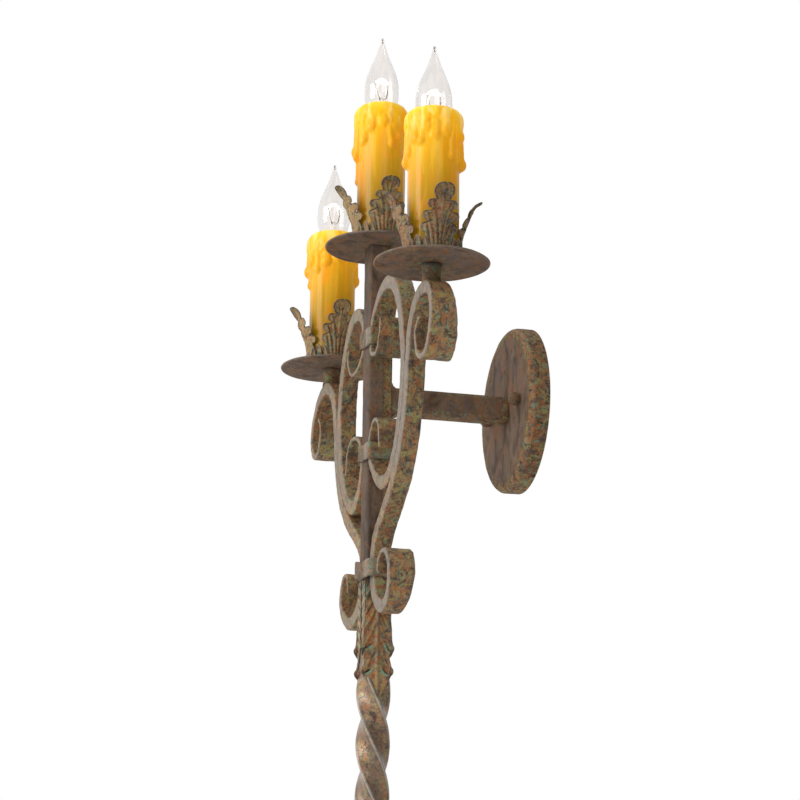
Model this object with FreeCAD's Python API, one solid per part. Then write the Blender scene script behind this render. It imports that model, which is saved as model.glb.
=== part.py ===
import FreeCAD, Part
import math
import os

os.makedirs("parts", exist_ok=True)

# Three-light torch sconce in forged iron.
# Frame: origin at the centre of the canopy's back plane, on the wall face.
# +Y runs into the wall, the room is on the -Y side, +Z is up. Millimetres.

V = FreeCAD.Vector

# ---------------------------------------------------------------- dimensions
YB = -139.6              # the centre bar's axis stands this far off the wall
BAR = 22.2               # square bar and square arm tube, across the flats
BAR_WALL = 2.0
ARM_WALL = 1.6
ARM_Z = -1.0

CAN_R = 76.0             # canopy, 152 mm round
CAN_D = 18.0             # its depth off the wall
CAN_T = 1.2
STUD_X = 42.0            # canopy studs, left and right of the arm
STUD_R = 2.05
PLATE_T = 2.5
SLOT_SPACING = 79.4      # box screw slots, up and down the plate
SLOT_R = 2.4
SLOT_LEN = 24.0

PAN_R = 50.0
PAN_T = 2.0
PAN_SIDE_Z = 76.8        # top face of the two side pans
PAN_MID_Z = 146.1        # top face of the centre pan
SIDE_X = 174.5           # side lights, either side of the bar

CUP_BASE_T = 1.0
SLEEVE_R = 22.1
SLEEVE_BORE = 17.0
SLEEVE_H = 134.5
LIFT = {1: -2.9, 0: 5.8, -1: 9.7}   # how much higher or lower each lamp stands: right, centre, left
GLASS_R = 16.0
STEM_R = 4.8
STEM_BORE = 3.5
SOCKET_R = 10.0
SHELL_R = 6.75
SHELL_BORE = 6.05
BASE_R = 5.95

POST_R = 8.2

SHAFT_TOP = -210.0       # where the tube ends and the twisted shaft begins
TWIST_TOP = -251.0
TWIST_BOT = -525.5       # one and a half turns, left-handed
SHAFT_END = -561.0
TWIST_TURN = 183.0       # length of one full turn

LEAD_R = 1.4             # a fixture lead: two insulated wires in one sleeve
GROOVE_R = 1.7

COLLAR_T = 2.8


# ------------------------------------------------------------------- helpers
def box(x0, x1, y0, y1, z0, z1):
    return Part.makeBox(x1 - x0, y1 - y0, z1 - z0, V(x0, y0, z0))


def cyl(r, h, base, axis=V(0, 0, 1)):
    return Part.makeCylinder(r, h, base, axis)


def ring(ro, ri, h, base, axis=V(0, 0, 1)):
    return cyl(ro, h, base, axis).cut(cyl(ri, h + 2, base - axis * 1.0, axis))


def round_edges(shape, r, test):
    edges = [e for e in shape.Edges if test(e)]
    return shape.makeFillet(r, edges) if edges else shape


def along(e, axis):
    if len(e.Vertexes) != 2 or not isinstance(e.Curve, Part.Line):
        return False
    d = (e.Vertexes[1].Point - e.Vertexes[0].Point).normalize()
    return abs(abs(d.dot(axis)) - 1) < 1e-6


def save(name, shape):
    solids = shape.Solids
    if not solids:
        raise RuntimeError(name + " holds no solid")
    for s in solids:
        if not s.isValid():
            print("not valid:", name)
    out = solids[0] if len(solids) == 1 else Part.makeCompound(solids)
    out.exportStep("parts/" + name + ".step")
    b = out.BoundBox
    print("%-22s %d solid  %9.1f mm3  x %7.1f %7.1f  y %7.1f %7.1f  z %7.1f %7.1f" % (
        name, len(solids), out.Volume, b.XMin, b.XMax, b.YMin, b.YMax, b.ZMin, b.ZMax))


def mirror_x(shape):
    return shape.mirror(V(0, 0, 0), V(1, 0, 0))


def poly_face(points):
    return Part.Face(Part.makePolygon(points + [points[0]]))


def revolve_z(profile, x, y):
    """Closed (r, z) profile turned about the vertical axis through (x, y)."""
    pts = [V(r, 0, z) for r, z in profile]
    s = poly_face(pts).revolve(V(0, 0, 0), V(0, 0, 1), 360)
    s.translate(V(x, y, 0))
    return s


def hexagon(af, h, base, axis=V(0, 0, 1)):
    r = af / math.sqrt(3.0)
    pts = [V(r * math.cos(math.radians(60 * i)), r * math.sin(math.radians(60 * i)), 0) for i in range(6)]
    s = poly_face(pts).extrude(V(0, 0, h))
    rot = FreeCAD.Rotation(V(0, 0, 1), axis)
    s.Placement = FreeCAD.Placement(base, rot)
    return s


def route(points, radii=None):
    """Straight runs through the points with a tangent arc at each corner."""
    n = len(points)
    edges = []
    length = 0.0
    cur = points[0]
    least = 1e9
    for i in range(1, n - 1):
        a, b, c = points[i - 1], points[i], points[i + 1]
        u = (a - b)
        w = (c - b)
        lu, lw = u.Length, w.Length
        u = u * (1.0 / lu)
        w = w * (1.0 / lw)
        turn = math.pi - u.getAngle(w)
        if turn < 1e-4:
            continue
        k = math.tan(turn / 2)
        r = 0.45 * min(lu, lw) / k
        if radii and radii.get(i):
            r = min(r, radii[i])
        t = r * k
        p, q = b + u * t, b + w * t
        bis = (u + w)
        bis = bis * (1.0 / bis.Length)
        centre = b + bis * (r / math.cos(turn / 2))
        mid = centre - bis * r
        if (p - cur).Length > 1e-6:
            edges.append(Part.LineSegment(cur, p).toShape())
            length += (p - cur).Length
        edges.append(Part.Arc(p, mid, q).toShape())
        length += r * turn
        least = min(least, r)
        cur = q
    edges.append(Part.LineSegment(cur, points[-1]).toShape())
    length += (points[-1] - cur).Length
    return Part.Wire(edges), length, least


def pipe(points, r, radii=None, name=None):
    wire, length, least = route(points, radii)
    d = points[1] - points[0]
    profile = Part.Wire([Part.makeCircle(r, points[0], d)])
    s = wire.makePipeShell([profile], True, False)
    if s.ShapeType != "Solid":
        s = Part.Solid(s) if s.ShapeType == "Shell" else s.Solids[0]
    if name:
        print("%s: length %.1f, least bend %.1f, volume ratio %.4f" % (
            name, length, least, s.Volume / (math.pi * r * r * length)))
    return s


# ------------------------------------------------------------------- scrolls
def scroll_line(rows, n):
    """Smooth mid-line through rows of (x, z, thickness, width)."""
    pts = [V(x, 0, z) for x, z, t, w in rows]
    c = Part.BSplineCurve()
    c.interpolate(pts)
    total = c.length()
    marks = [0.0]
    for p in pts[1:-1]:
        marks.append(c.length(c.FirstParameter, c.parameter(p)))
    marks.append(total)
    out = []
    for i in range(n):
        s = total * i / (n - 1)
        u = c.parameterAtDistance(s, c.FirstParameter) if 0 < i < n - 1 else (
            c.FirstParameter if i == 0 else c.LastParameter)
        p = c.value(u)
        t = c.tangent(u)[0]
        k = 0
        while k < len(marks) - 2 and marks[k + 1] < s:
            k += 1
        f = (s - marks[k]) / (marks[k + 1] - marks[k])
        f = max(0.0, min(1.0, f))
        th = rows[k][2] + (rows[k + 1][2] - rows[k][2]) * f
        wd = rows[k][3] + (rows[k + 1][3] - rows[k][3]) * f
        out.append((p, V(-t.z, 0, t.x), th, wd))
    return out


def scroll_solid(rows, n):
    wires = []
    for p, nrm, th, wd in scroll_line(rows, n):
        a = p + nrm * (th / 2)
        b = p - nrm * (th / 2)
        c = [V(a.x, YB - wd / 2, a.z), V(a.x, YB + wd / 2, a.z),
             V(b.x, YB + wd / 2, b.z), V(b.x, YB - wd / 2, b.z)]
        wires.append(Part.makePolygon(c + [c[0]]))
    return Part.makeLoft(wires, True, False)


# outer scroll, from the tip of the top curl down to the tip of the bottom curl:
# x, z of the mid-line, thickness in the scroll's plane, width along Y
OUTER = [
    (183.0, 25.0, 3.0, 26.0), (174.5, 21.5, 3.2, 26.5), (169.5, 13.5, 3.6, 26.5), (170.5, 3.5, 4.2, 26.5),
    (177.0, -5.5, 4.8, 26.5), (187.5, -10.3, 5.4, 26.3), (199.5, -6.5, 6.2, 25.8), (207.5, 4.0, 6.9, 25.0),
    (210.0, 18.0, 7.6, 23.4), (206.0, 34.0, 8.4, 21.4), (195.5, 46.8, 9.6, 19.6), (180.0, 52.6, 11.4, 18.6),
    (163.5, 52.0, 11.8, 17.8), (148.0, 46.0, 11.8, 17.0), (136.5, 34.5, 12.2, 16.4), (129.5, 19.0, 12.7, 16.0),
    (125.0, 0.0, 12.7, 15.9), (121.5, -22.0, 12.7, 15.9), (115.5, -43.0, 12.7, 15.9), (107.0, -61.5, 12.7, 15.9),
    (96.0, -78.0, 12.7, 15.9), (82.0, -92.5, 12.7, 15.9), (66.0, -104.5, 12.7, 15.9), (50.0, -114.5, 12.7, 15.9),
    (35.0, -124.5, 12.7, 15.9), (23.5, -134.5, 12.7, 15.9), (18.0, -145.0, 12.7, 15.9), (17.55, -154.0, 12.7, 15.9),
    (17.6, -164.0, 12.7, 15.9), (20.5, -175.5, 12.7, 15.9), (28.0, -186.5, 12.6, 16.0), (40.0, -195.0, 12.4, 16.4),
    (55.0, -198.8, 12.0, 17.2), (70.5, -196.0, 10.8, 19.0), (82.5, -186.5, 9.2, 21.2), (87.5, -173.5, 7.4, 23.0),
    (83.5, -160.5, 5.6, 24.0), (73.0, -153.2, 4.2, 24.6), (61.0, -153.6, 3.5, 24.8), (53.0, -160.5, 3.2, 25.0),
    (53.0, -170.0, 3.0, 25.0),
]

# inner scroll, from the tip of its top curl round the belly to the tip of its bottom curl
INNER = [
    (57.5, 61.5, 3.0, 28.0), (57.0, 50.0, 3.0, 28.0), (52.5, 39.8, 3.2, 28.0), (43.0, 33.2, 3.4, 27.5),
    (32.0, 33.4, 3.8, 26.5), (22.6, 36.6, 4.2, 24.5), (16.3, 42.3, 4.6, 23.0), (14.2, 49.5, 5.0, 22.3),
    (14.05, 56.0, 5.3, 22.0), (14.3, 62.5, 5.6, 21.8), (17.2, 71.0, 6.4, 21.0), (24.8, 80.8, 8.0, 19.6), (36.0, 89.0, 10.4, 18.0), (51.0, 93.6, 12.7, 16.8),
    (67.0, 91.8, 12.9, 16.0), (81.0, 83.5, 12.8, 15.9), (92.0, 70.5, 12.7, 15.9), (101.0, 54.0, 12.7, 15.9),
    (107.5, 36.0, 12.7, 15.9), (111.1, 17.0, 12.7, 15.9), (111.65, -2.0, 12.7, 15.9), (108.1, -21.0, 12.7, 15.9),
    (102.5, -39.0, 12.7, 15.9), (95.5, -55.5, 12.7, 15.9), (86.0, -70.0, 12.8, 15.9), (74.0, -81.5, 13.0, 15.9),
    (60.0, -87.8, 13.2, 16.0), (45.0, -87.0, 12.4, 16.6), (31.5, -80.5, 10.4, 17.8), (21.2, -70.4, 8.0, 19.6),
    (15.3, -61.5, 6.1, 21.6), (14.1, -54.0, 5.5, 22.0), (14.15, -46.5, 5.2, 22.2), (17.6, -38.0, 4.6, 23.4),
    (26.3, -31.0, 4.0, 24.6),
    (37.5, -28.6, 3.6, 25.6), (48.0, -32.0, 3.4, 26.6), (55.0, -40.0, 3.2, 27.2), (58.5, -50.0, 3.0, 27.6),
    (59.5, -59.0, 3.0, 28.0),
]


# --------------------------------------------------------------------- leads
def lead_points(side):
    """side: 0 the centre light, +1 and -1 the side lights."""
    a = {0: 90, 1: -30, -1: 210}[side]
    dx, dz = 1.85 * math.cos(math.radians(a)), 1.85 * math.sin(math.radians(a))
    top = {0: 0.0, 1: 6.0, -1: -6.0}[side]
    pts = [V(top, -4.6, 12.0), V(dx, -4.6, ARM_Z + dz), V(dx, -34.0, ARM_Z + dz)]
    if side == 0:
        # up the bar to the centre light
        pts += [V(0, -62.0, 2.5), V(0, YB - 2.0, 3.0), V(0, YB - 1.0, 60.0), V(0, YB, 118.0),
                V(0, YB, PAN_MID_Z + SLEEVE_H + 1.0 - 50.0 + LIFT[0])]
        return pts, {1: 5.0, 2: 30.0, 4: 11.0}
    s = side
    # down the bar, out through its side wall into the scroll, and on along the scroll's rear groove
    pts += [V(s * 3.0, -62.0, -3.0), V(s * 3.2, YB + 1.0, -4.0), V(s * 3.2, YB, -60.0), V(s * 3.2, YB, -143.0),
            V(s * 12.0, YB, -146.5), V(s * 20.0, YB + 5.2, -139.5), V(s * 27.5, YB + 6.4, -131.0),
            V(s * 35.0, YB + 6.4, -124.5)]
    for x, z in [(50.0, -114.5), (66.0, -104.5), (82.0, -92.5), (96.0, -78.0), (107.0, -61.5),
                 (115.5, -43.0), (121.5, -22.0), (125.0, 0.0), (129.5, 19.0), (136.5, 34.5), (148.0, 46.0)]:
        w = 15.9 if z < 10 else (16.0 if z < 25 else (16.4 if z < 40 else 17.0))
        pts.append(V(s * x, YB + w / 2 - 1.55, z))
    pts += [V(s * 160.0, YB + 6.6, 51.2), V(s * SIDE_X, YB + 1.2, 51.2), V(s * SIDE_X, YB + 0.6, 66.0),
            V(s * SIDE_X, YB, 80.0), V(s * SIDE_X, YB, PAN_SIDE_Z + SLEEVE_H + 1.0 - 50.0 + LIFT[side])]
    n = len(pts)
    return pts, {1: 5.0, 2: 30.0, 4: 11.0, 6: 6.2, 7: 6.2, 8: 9.0, n - 4: 6.0}


# =================================================================== the wall
plate = box(-10, 10, -PLATE_T, 0, -56, 56).fuse(box(-52, 52, -PLATE_T, 0, -10, 10)).removeSplitter()
plate = round_edges(plate, 3.0, lambda e: along(e, V(0, 1, 0)))
for sz in (1, -1):
    zc = sz * SLOT_SPACING / 2
    half = SLOT_LEN / 2 - SLOT_R
    slot = box(-SLOT_R, SLOT_R, -4, 1, zc - half, zc + half)
    for k in (1, -1):
        slot = slot.fuse(cyl(SLOT_R, 5, V(0, -4, zc + k * half), V(0, 1, 0)))
    plate = plate.cut(slot)
for sx in (1, -1):
    plate = plate.cut(cyl(STUD_R, 6, V(sx * STUD_X, -4, 0), V(0, 1, 0)))
GS_Z = -19.0
plate = plate.cut(cyl(2.0, 6, V(0, -4, GS_Z), V(0, 1, 0)))
save("mounting_plate", plate)

gs = hexagon(7.0, 2.6, V(0, -PLATE_T - 2.6, GS_Z), V(0, 1, 0)).fuse(
    cyl(2.0, PLATE_T - 0.2, V(0, -PLATE_T, GS_Z), V(0, 1, 0)))
gs = gs.cut(box(-3.2, 3.2, -PLATE_T - 3.2, -PLATE_T - 1.6, GS_Z - 0.5, GS_Z + 0.5))
save("ground_screw", gs)

studs = [cyl(STUD_R, 25.0 - 0.2, V(sx * STUD_X, -25.0, 0), V(0, 1, 0)) for sx in (1, -1)]
save("canopy_studs", Part.makeCompound(studs))

nuts = []
for sx in (1, -1):
    ball = Part.makeSphere(6.0, V(sx * STUD_X, -CAN_D - 4.9, 0))
    ball = ball.cut(box(sx * STUD_X - 9, sx * STUD_X + 9, -CAN_D, 0, -9, 9))
    skirt = cyl(4.4, 1.6, V(sx * STUD_X, -CAN_D - 1.6, 0), V(0, 1, 0))
    ball = ball.fuse(skirt).removeSplitter()
    ball = ball.cut(cyl(STUD_R, 9.0, V(sx * STUD_X, -25.2, 0), V(0, 1, 0)))
    nuts.append(ball)
save("canopy_cap_nuts", Part.makeCompound(nuts))

# canopy: a spun pan, open to the wall, with a soft front edge
e = 6.0
outer = [Part.LineSegment(V(0, -CAN_D, 0), V(CAN_R - e, -CAN_D, 0)).toShape(),
         Part.Arc(V(CAN_R - e, -CAN_D, 0),
                  V(CAN_R - e + e * math.sin(math.pi / 4), -CAN_D + e - e * math.cos(math.pi / 4), 0),
                  V(CAN_R, -CAN_D + e, 0)).toShape(),
         Part.LineSegment(V(CAN_R, -CAN_D + e, 0), V(CAN_R, 0, 0)).toShape(),
         Part.LineSegment(V(CAN_R, 0, 0), V(CAN_R - CAN_T, 0, 0)).toShape(),
         Part.LineSegment(V(CAN_R - CAN_T, 0, 0), V(CAN_R - CAN_T, -CAN_D + e, 0)).toShape()]
ei = e - CAN_T
outer.append(Part.Arc(V(CAN_R - CAN_T, -CAN_D + e, 0),
                      V(CAN_R - e + ei * math.sin(math.pi / 4), -CAN_D + e - ei * math.cos(math.pi / 4), 0),
                      V(CAN_R - e, -CAN_D + CAN_T, 0)).toShape())
outer.append(Part.LineSegment(V(CAN_R - e, -CAN_D + CAN_T, 0), V(0, -CAN_D + CAN_T, 0)).toShape())
outer.append(Part.LineSegment(V(0, -CAN_D + CAN_T, 0), V(0, -CAN_D, 0)).toShape())
canopy = Part.Face(Part.Wire(outer)).revolve(V(0, 0, 0), V(0, 1, 0), 360)
canopy = canopy.cut(cyl(STEM_R + 0.1, 6, V(0, -CAN_D - 2, ARM_Z), V(0, 1, 0)))
for sx in (1, -1):
    canopy = canopy.cut(cyl(STUD_R + 0.25, 6, V(sx * STUD_X, -CAN_D - 2, 0), V(0, 1, 0)))
save("canopy", canopy)

# arm fastening
h = BAR / 2
hi = h - ARM_WALL
plug = box(-hi, hi, -CAN_D - 10, -CAN_D, ARM_Z - hi, ARM_Z + hi)
plug = plug.cut(cyl(STEM_R, 14, V(0, -CAN_D - 12, ARM_Z), V(0, 1, 0)))
save("arm_end_plug", plug)
save("arm_nipple", ring(STEM_R, STEM_BORE, CAN_D + 10 - 10.3, V(0, -CAN_D - 10, ARM_Z), V(0, 1, 0)))
save("arm_lock_washer", ring(8.5, STEM_R + 0.1, 1.5, V(0, -CAN_D + CAN_T, ARM_Z), V(0, 1, 0)))
save("arm_lock_nut", hexagon(14.0, 4.3, V(0, -CAN_D + CAN_T + 1.5, ARM_Z), V(0, 1, 0)).cut(
    cyl(STEM_R, 8, V(0, -CAN_D, ARM_Z), V(0, 1, 0))))

arm = box(-h, h, YB + h, -CAN_D, ARM_Z - h, ARM_Z + h)
arm = round_edges(arm, 2.2, lambda q: along(q, V(0, 1, 0)))
arm = arm.cut(box(-hi, hi, YB + h - 1, -CAN_D + 1, ARM_Z - hi, ARM_Z + hi))
save("arm_tube", arm)

save("terminal_block", box(-10.5, 10.5, -9.6, -PLATE_T, 12.0, 24.0).cut(
    cyl(1.9, 2.0, V(6.0, -4.6, 12.0))).cut(cyl(1.9, 2.0, V(-6.0, -4.6, 12.0))).cut(cyl(1.9, 2.0, V(0, -4.6, 12.0))))

# ==================================================================== the bar
bi = h - BAR_WALL
tube = box(-h, h, YB - h, YB + h, SHAFT_TOP, PAN_MID_Z - PAN_T)
tube = round_edges(tube, 1.6, lambda q: along(q, V(0, 0, 1)))
tube = tube.cut(box(-bi, bi, YB - bi, YB + bi, SHAFT_TOP - 1, PAN_MID_Z))
tube = tube.cut(cyl(7.0, 6, V(0, YB + h - 4, ARM_Z), V(0, 1, 0)))
lp, lr = lead_points(1)
groove = pipe(lp[5:], GROOVE_R, {1: 6.2, 2: 6.2, 3: 9.0, len(lp) - 4 - 5: 6.0})
tube = tube.cut(groove).cut(mirror_x(groove))
save("bar_tube", max(tube.Solids, key=lambda q: q.Volume))

cap = box(-bi, bi, YB - bi, YB + bi, PAN_MID_Z - PAN_T - 10, PAN_MID_Z - PAN_T)
cap = cap.cut(cyl(STEM_R, 14, V(0, YB, PAN_MID_Z - PAN_T - 12)))
save("bar_top_plug", cap)


def square(z, half, turn, yc=YB):
    pts = []
    for k in range(4):
        a = math.radians(45 + 90 * k + turn)
        pts.append(V(half * math.sqrt(2) * math.cos(a), yc + half * math.sqrt(2) * math.sin(a), z))
    return Part.makePolygon(pts + [pts[0]])


# the lower shaft: a spigot in the tube, a plain length, one and a half turns of twist, a drawn point
spigot = box(-bi + 0.05, bi - 0.05, YB - bi + 0.05, YB + bi - 0.05, SHAFT_TOP, SHAFT_TOP + 20)
plain = box(-h, h, YB - h, YB + h, TWIST_TOP, SHAFT_TOP)
turns = 360.0 * (TWIST_TOP - TWIST_BOT) / TWIST_TURN
steps = 54
secs = [square(TWIST_TOP + (TWIST_BOT - TWIST_TOP) * i / steps, h, turns * i / steps) for i in range(steps + 1)]
twist = Part.makeLoft(secs, True, False)
point = Part.makeLoft([square(TWIST_BOT, h, 0), square(TWIST_BOT - 5, h - 0.4, 0), square(TWIST_BOT - 22, 6.6, 0),
                       square(SHAFT_END + 2, 3.6, 0), square(SHAFT_END, 2.4, 0)], True, True)
shaft = spigot.fuse(plain).fuse(twist).fuse(point)
if len(shaft.Solids) != 1:
    print("shaft pieces", len(shaft.Solids))
save("twisted_shaft", shaft)

# =================================================================== scrolls
outer_raw = scroll_solid(OUTER, 82)
inner_raw = scroll_solid(INNER, 74)

outer_scroll = outer_raw.cut(groove)
outer_scroll = max(outer_scroll.Solids, key=lambda q: q.Volume)
save("right_outer_scroll", outer_scroll)
save("left_outer_scroll", mirror_x(outer_scroll))
save("right_inner_scroll", inner_raw)
save("left_inner_scroll", mirror_x(inner_raw))


def collar(xi, yi, z0, z1, strip):
    o = box(-xi - COLLAR_T, xi + COLLAR_T, YB - yi - COLLAR_T, YB + yi + COLLAR_T, z0, z1)
    o = round_edges(o, 3.4, lambda q: along(q, V(0, 0, 1)))
    o = o.cut(box(-xi, xi, YB - yi, YB + yi, z0 - 1, z1 + 1))
    return max(o.cut(strip).cut(mirror_x(strip)).Solids, key=lambda q: q.Volume)


save("upper_collar", collar(17.15, 11.4, 47.0, 63.5, inner_raw))
save("middle_collar", collar(17.25, 11.4, -59.0, -44.0, inner_raw))
save("lower_collar", collar(24.05, 11.2, -167.0, -151.0, outer_raw))

# posts under the side pans, seated on the curls
post = cyl(POST_R, PAN_SIDE_Z - PAN_T - 52.6, V(SIDE_X, YB, 52.6)).cut(outer_raw)
post = max(post.Solids, key=lambda q: q.CenterOfMass.z)
post = post.cut(cyl(STEM_R, 30, V(SIDE_X, YB, 51)))
save("right_post", post)
save("left_post", mirror_x(post))


# ============================================================= leaf ornaments
def strip_loft(levels, thick):
    """levels: for each, the open run of points across the sheet, left to right,
    and the direction in which its thickness is added."""
    wires = []
    for run, out in levels:
        back = [p + out * thick for p in run][::-1]
        loop = run + back
        wires.append(Part.makePolygon(loop + [loop[0]]))
    return Part.makeLoft(wires, True, True)


# leaf that wraps the right face of the shaft, pointing down: z, half-width, stand-off, side curl
LEAF = [(-173.0, 12.6, 0.3, 0.0), (-192.0, 12.6, 0.3, 0.0), (-206.0, 12.7, 0.3, 0.0), (-216.0, 13.4, 0.5, 0.6),
        (-224.0, 14.4, 0.9, 1.4), (-230.0, 15.2, 1.2, 2.6), (-234.5, 11.8, 0.8, 0.6), (-240.0, 12.8, 1.0, 1.0),
        (-249.0, 14.8, 1.6, 2.6), (-254.0, 10.8, 2.0, 0.6), (-260.0, 9.0, 2.8, 0.4), (-267.0, 6.0, 3.6, 0.2),
        (-272.0, 1.2, 4.2, 0.0)]


def shaft_leaf():
    levels = []
    for z, b, off, curl in LEAF:
        run = []
        for f in (-1.0, -0.8, -0.6, -0.3, 0.0, 0.3, 0.6, 0.8, 1.0):
            y = b * f
            x = h + off + 0.9 * (1 - abs(f)) + curl * max(0.0, abs(f) - 0.6) / 0.4
            run.append(V(x, YB + y, z))
        levels.append((run, V(1, 0, 0)))
    return strip_loft(levels, 1.4)


leaf = shaft_leaf()
wrap = []
for s in (1, -1):
    wrap.append(box(h - 9.0, h + 1.4, YB + s * (h + 0.1) - (0 if s > 0 else 1.3), YB + s * (h + 0.1) + (1.3 if s > 0 else 0),
                    -214.0, -173.0))
right_leaf = leaf.fuse(wrap[0]).fuse(wrap[1])
right_leaf = right_leaf.cut(box(-h - 0.05, h + 0.2, YB - h - 0.08, YB + h + 0.08, -280, -160)).cut(outer_raw).cut(shaft)
right_leaf = max(right_leaf.Solids, key=lambda q: q.Volume)
save("right_shaft_leaf", right_leaf)
save("left_shaft_leaf", mirror_x(right_leaf))

# cup leaf: height above the cup base, radius, half-width
CUPLEAF = [(0.0, 22.9, 8.0), (6.0, 23.1, 11.0), (12.0, 23.2, 14.6), (17.0, 23.6, 16.0), (21.0, 24.2, 12.6),
           (26.0, 24.8, 15.6), (31.0, 25.8, 15.2), (35.5, 26.8, 10.8), (40.0, 28.2, 11.4), (45.0, 30.8, 9.4),
           (50.0, 34.2, 9.0), (53.5, 38.2, 7.0), (56.0, 41.2, 3.6), (57.0, 42.6, 1.2)]


def cup(x, z):
    """Four broad leaves and four small ones round a dished base."""
    zb = z + CUP_BASE_T
    base = ring(24.2, STEM_R + 0.1, CUP_BASE_T, V(x, YB, z))
    rim = ring(24.2, 22.8, 5.0, V(x, YB, z))
    out = base.fuse(rim)
    for k in range(4):
        a = math.radians(90 * k)
        u, w = V(math.cos(a), math.sin(a), 0), V(-math.sin(a), math.cos(a), 0)
        levels = []
        for hgt, r, b in CUPLEAF:
            run = []
            for f in (-1.0, -0.5, 0.0, 0.5, 1.0):
                t = b * f
                rr = math.sqrt(max(r * r - (t * 0.92) ** 2, 0.0)) if hgt < 36 else r - 0.010 * t * t
                p = V(x, YB, zb + hgt) + u * rr + w * t
                run.append(p)
            levels.append((run, u))
        out = out.fuse(strip_loft(levels, 1.1))
        a2 = a + math.pi / 4
        u2, w2 = V(math.cos(a2), math.sin(a2), 0), V(-math.sin(a2), math.cos(a2), 0)
        levels = []
        for hgt, r, b in [(0.0, 22.9, 5.0), (6.0, 23.1, 5.6), (11.0, 23.6, 4.8), (15.0, 24.6, 2.6), (17.0, 25.4, 0.8)]:
            run = []
            for f in (-1.0, 0.0, 1.0):
                t = b * f
                run.append(V(x, YB, zb + hgt) + u2 * math.sqrt(r * r - t * t) + w2 * t)
            levels.append((run, u2))
        out = out.fuse(strip_loft(levels, 1.1))
    return out


# ============================================================ the three lights
# drips of the sleeve: angle, radius of the drip, how far down from the top it runs
DRIPS = [(10, 4.6, 34), (43, 3.6, 58), (75, 4.8, 26), (108, 3.8, 50), (140, 4.4, 40), (176, 4.8, 30),
         (212, 3.6, 62), (240, 4.6, 34), (270, 3.8, 46), (302, 4.8, 28), (330, 3.8, 54)]


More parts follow.
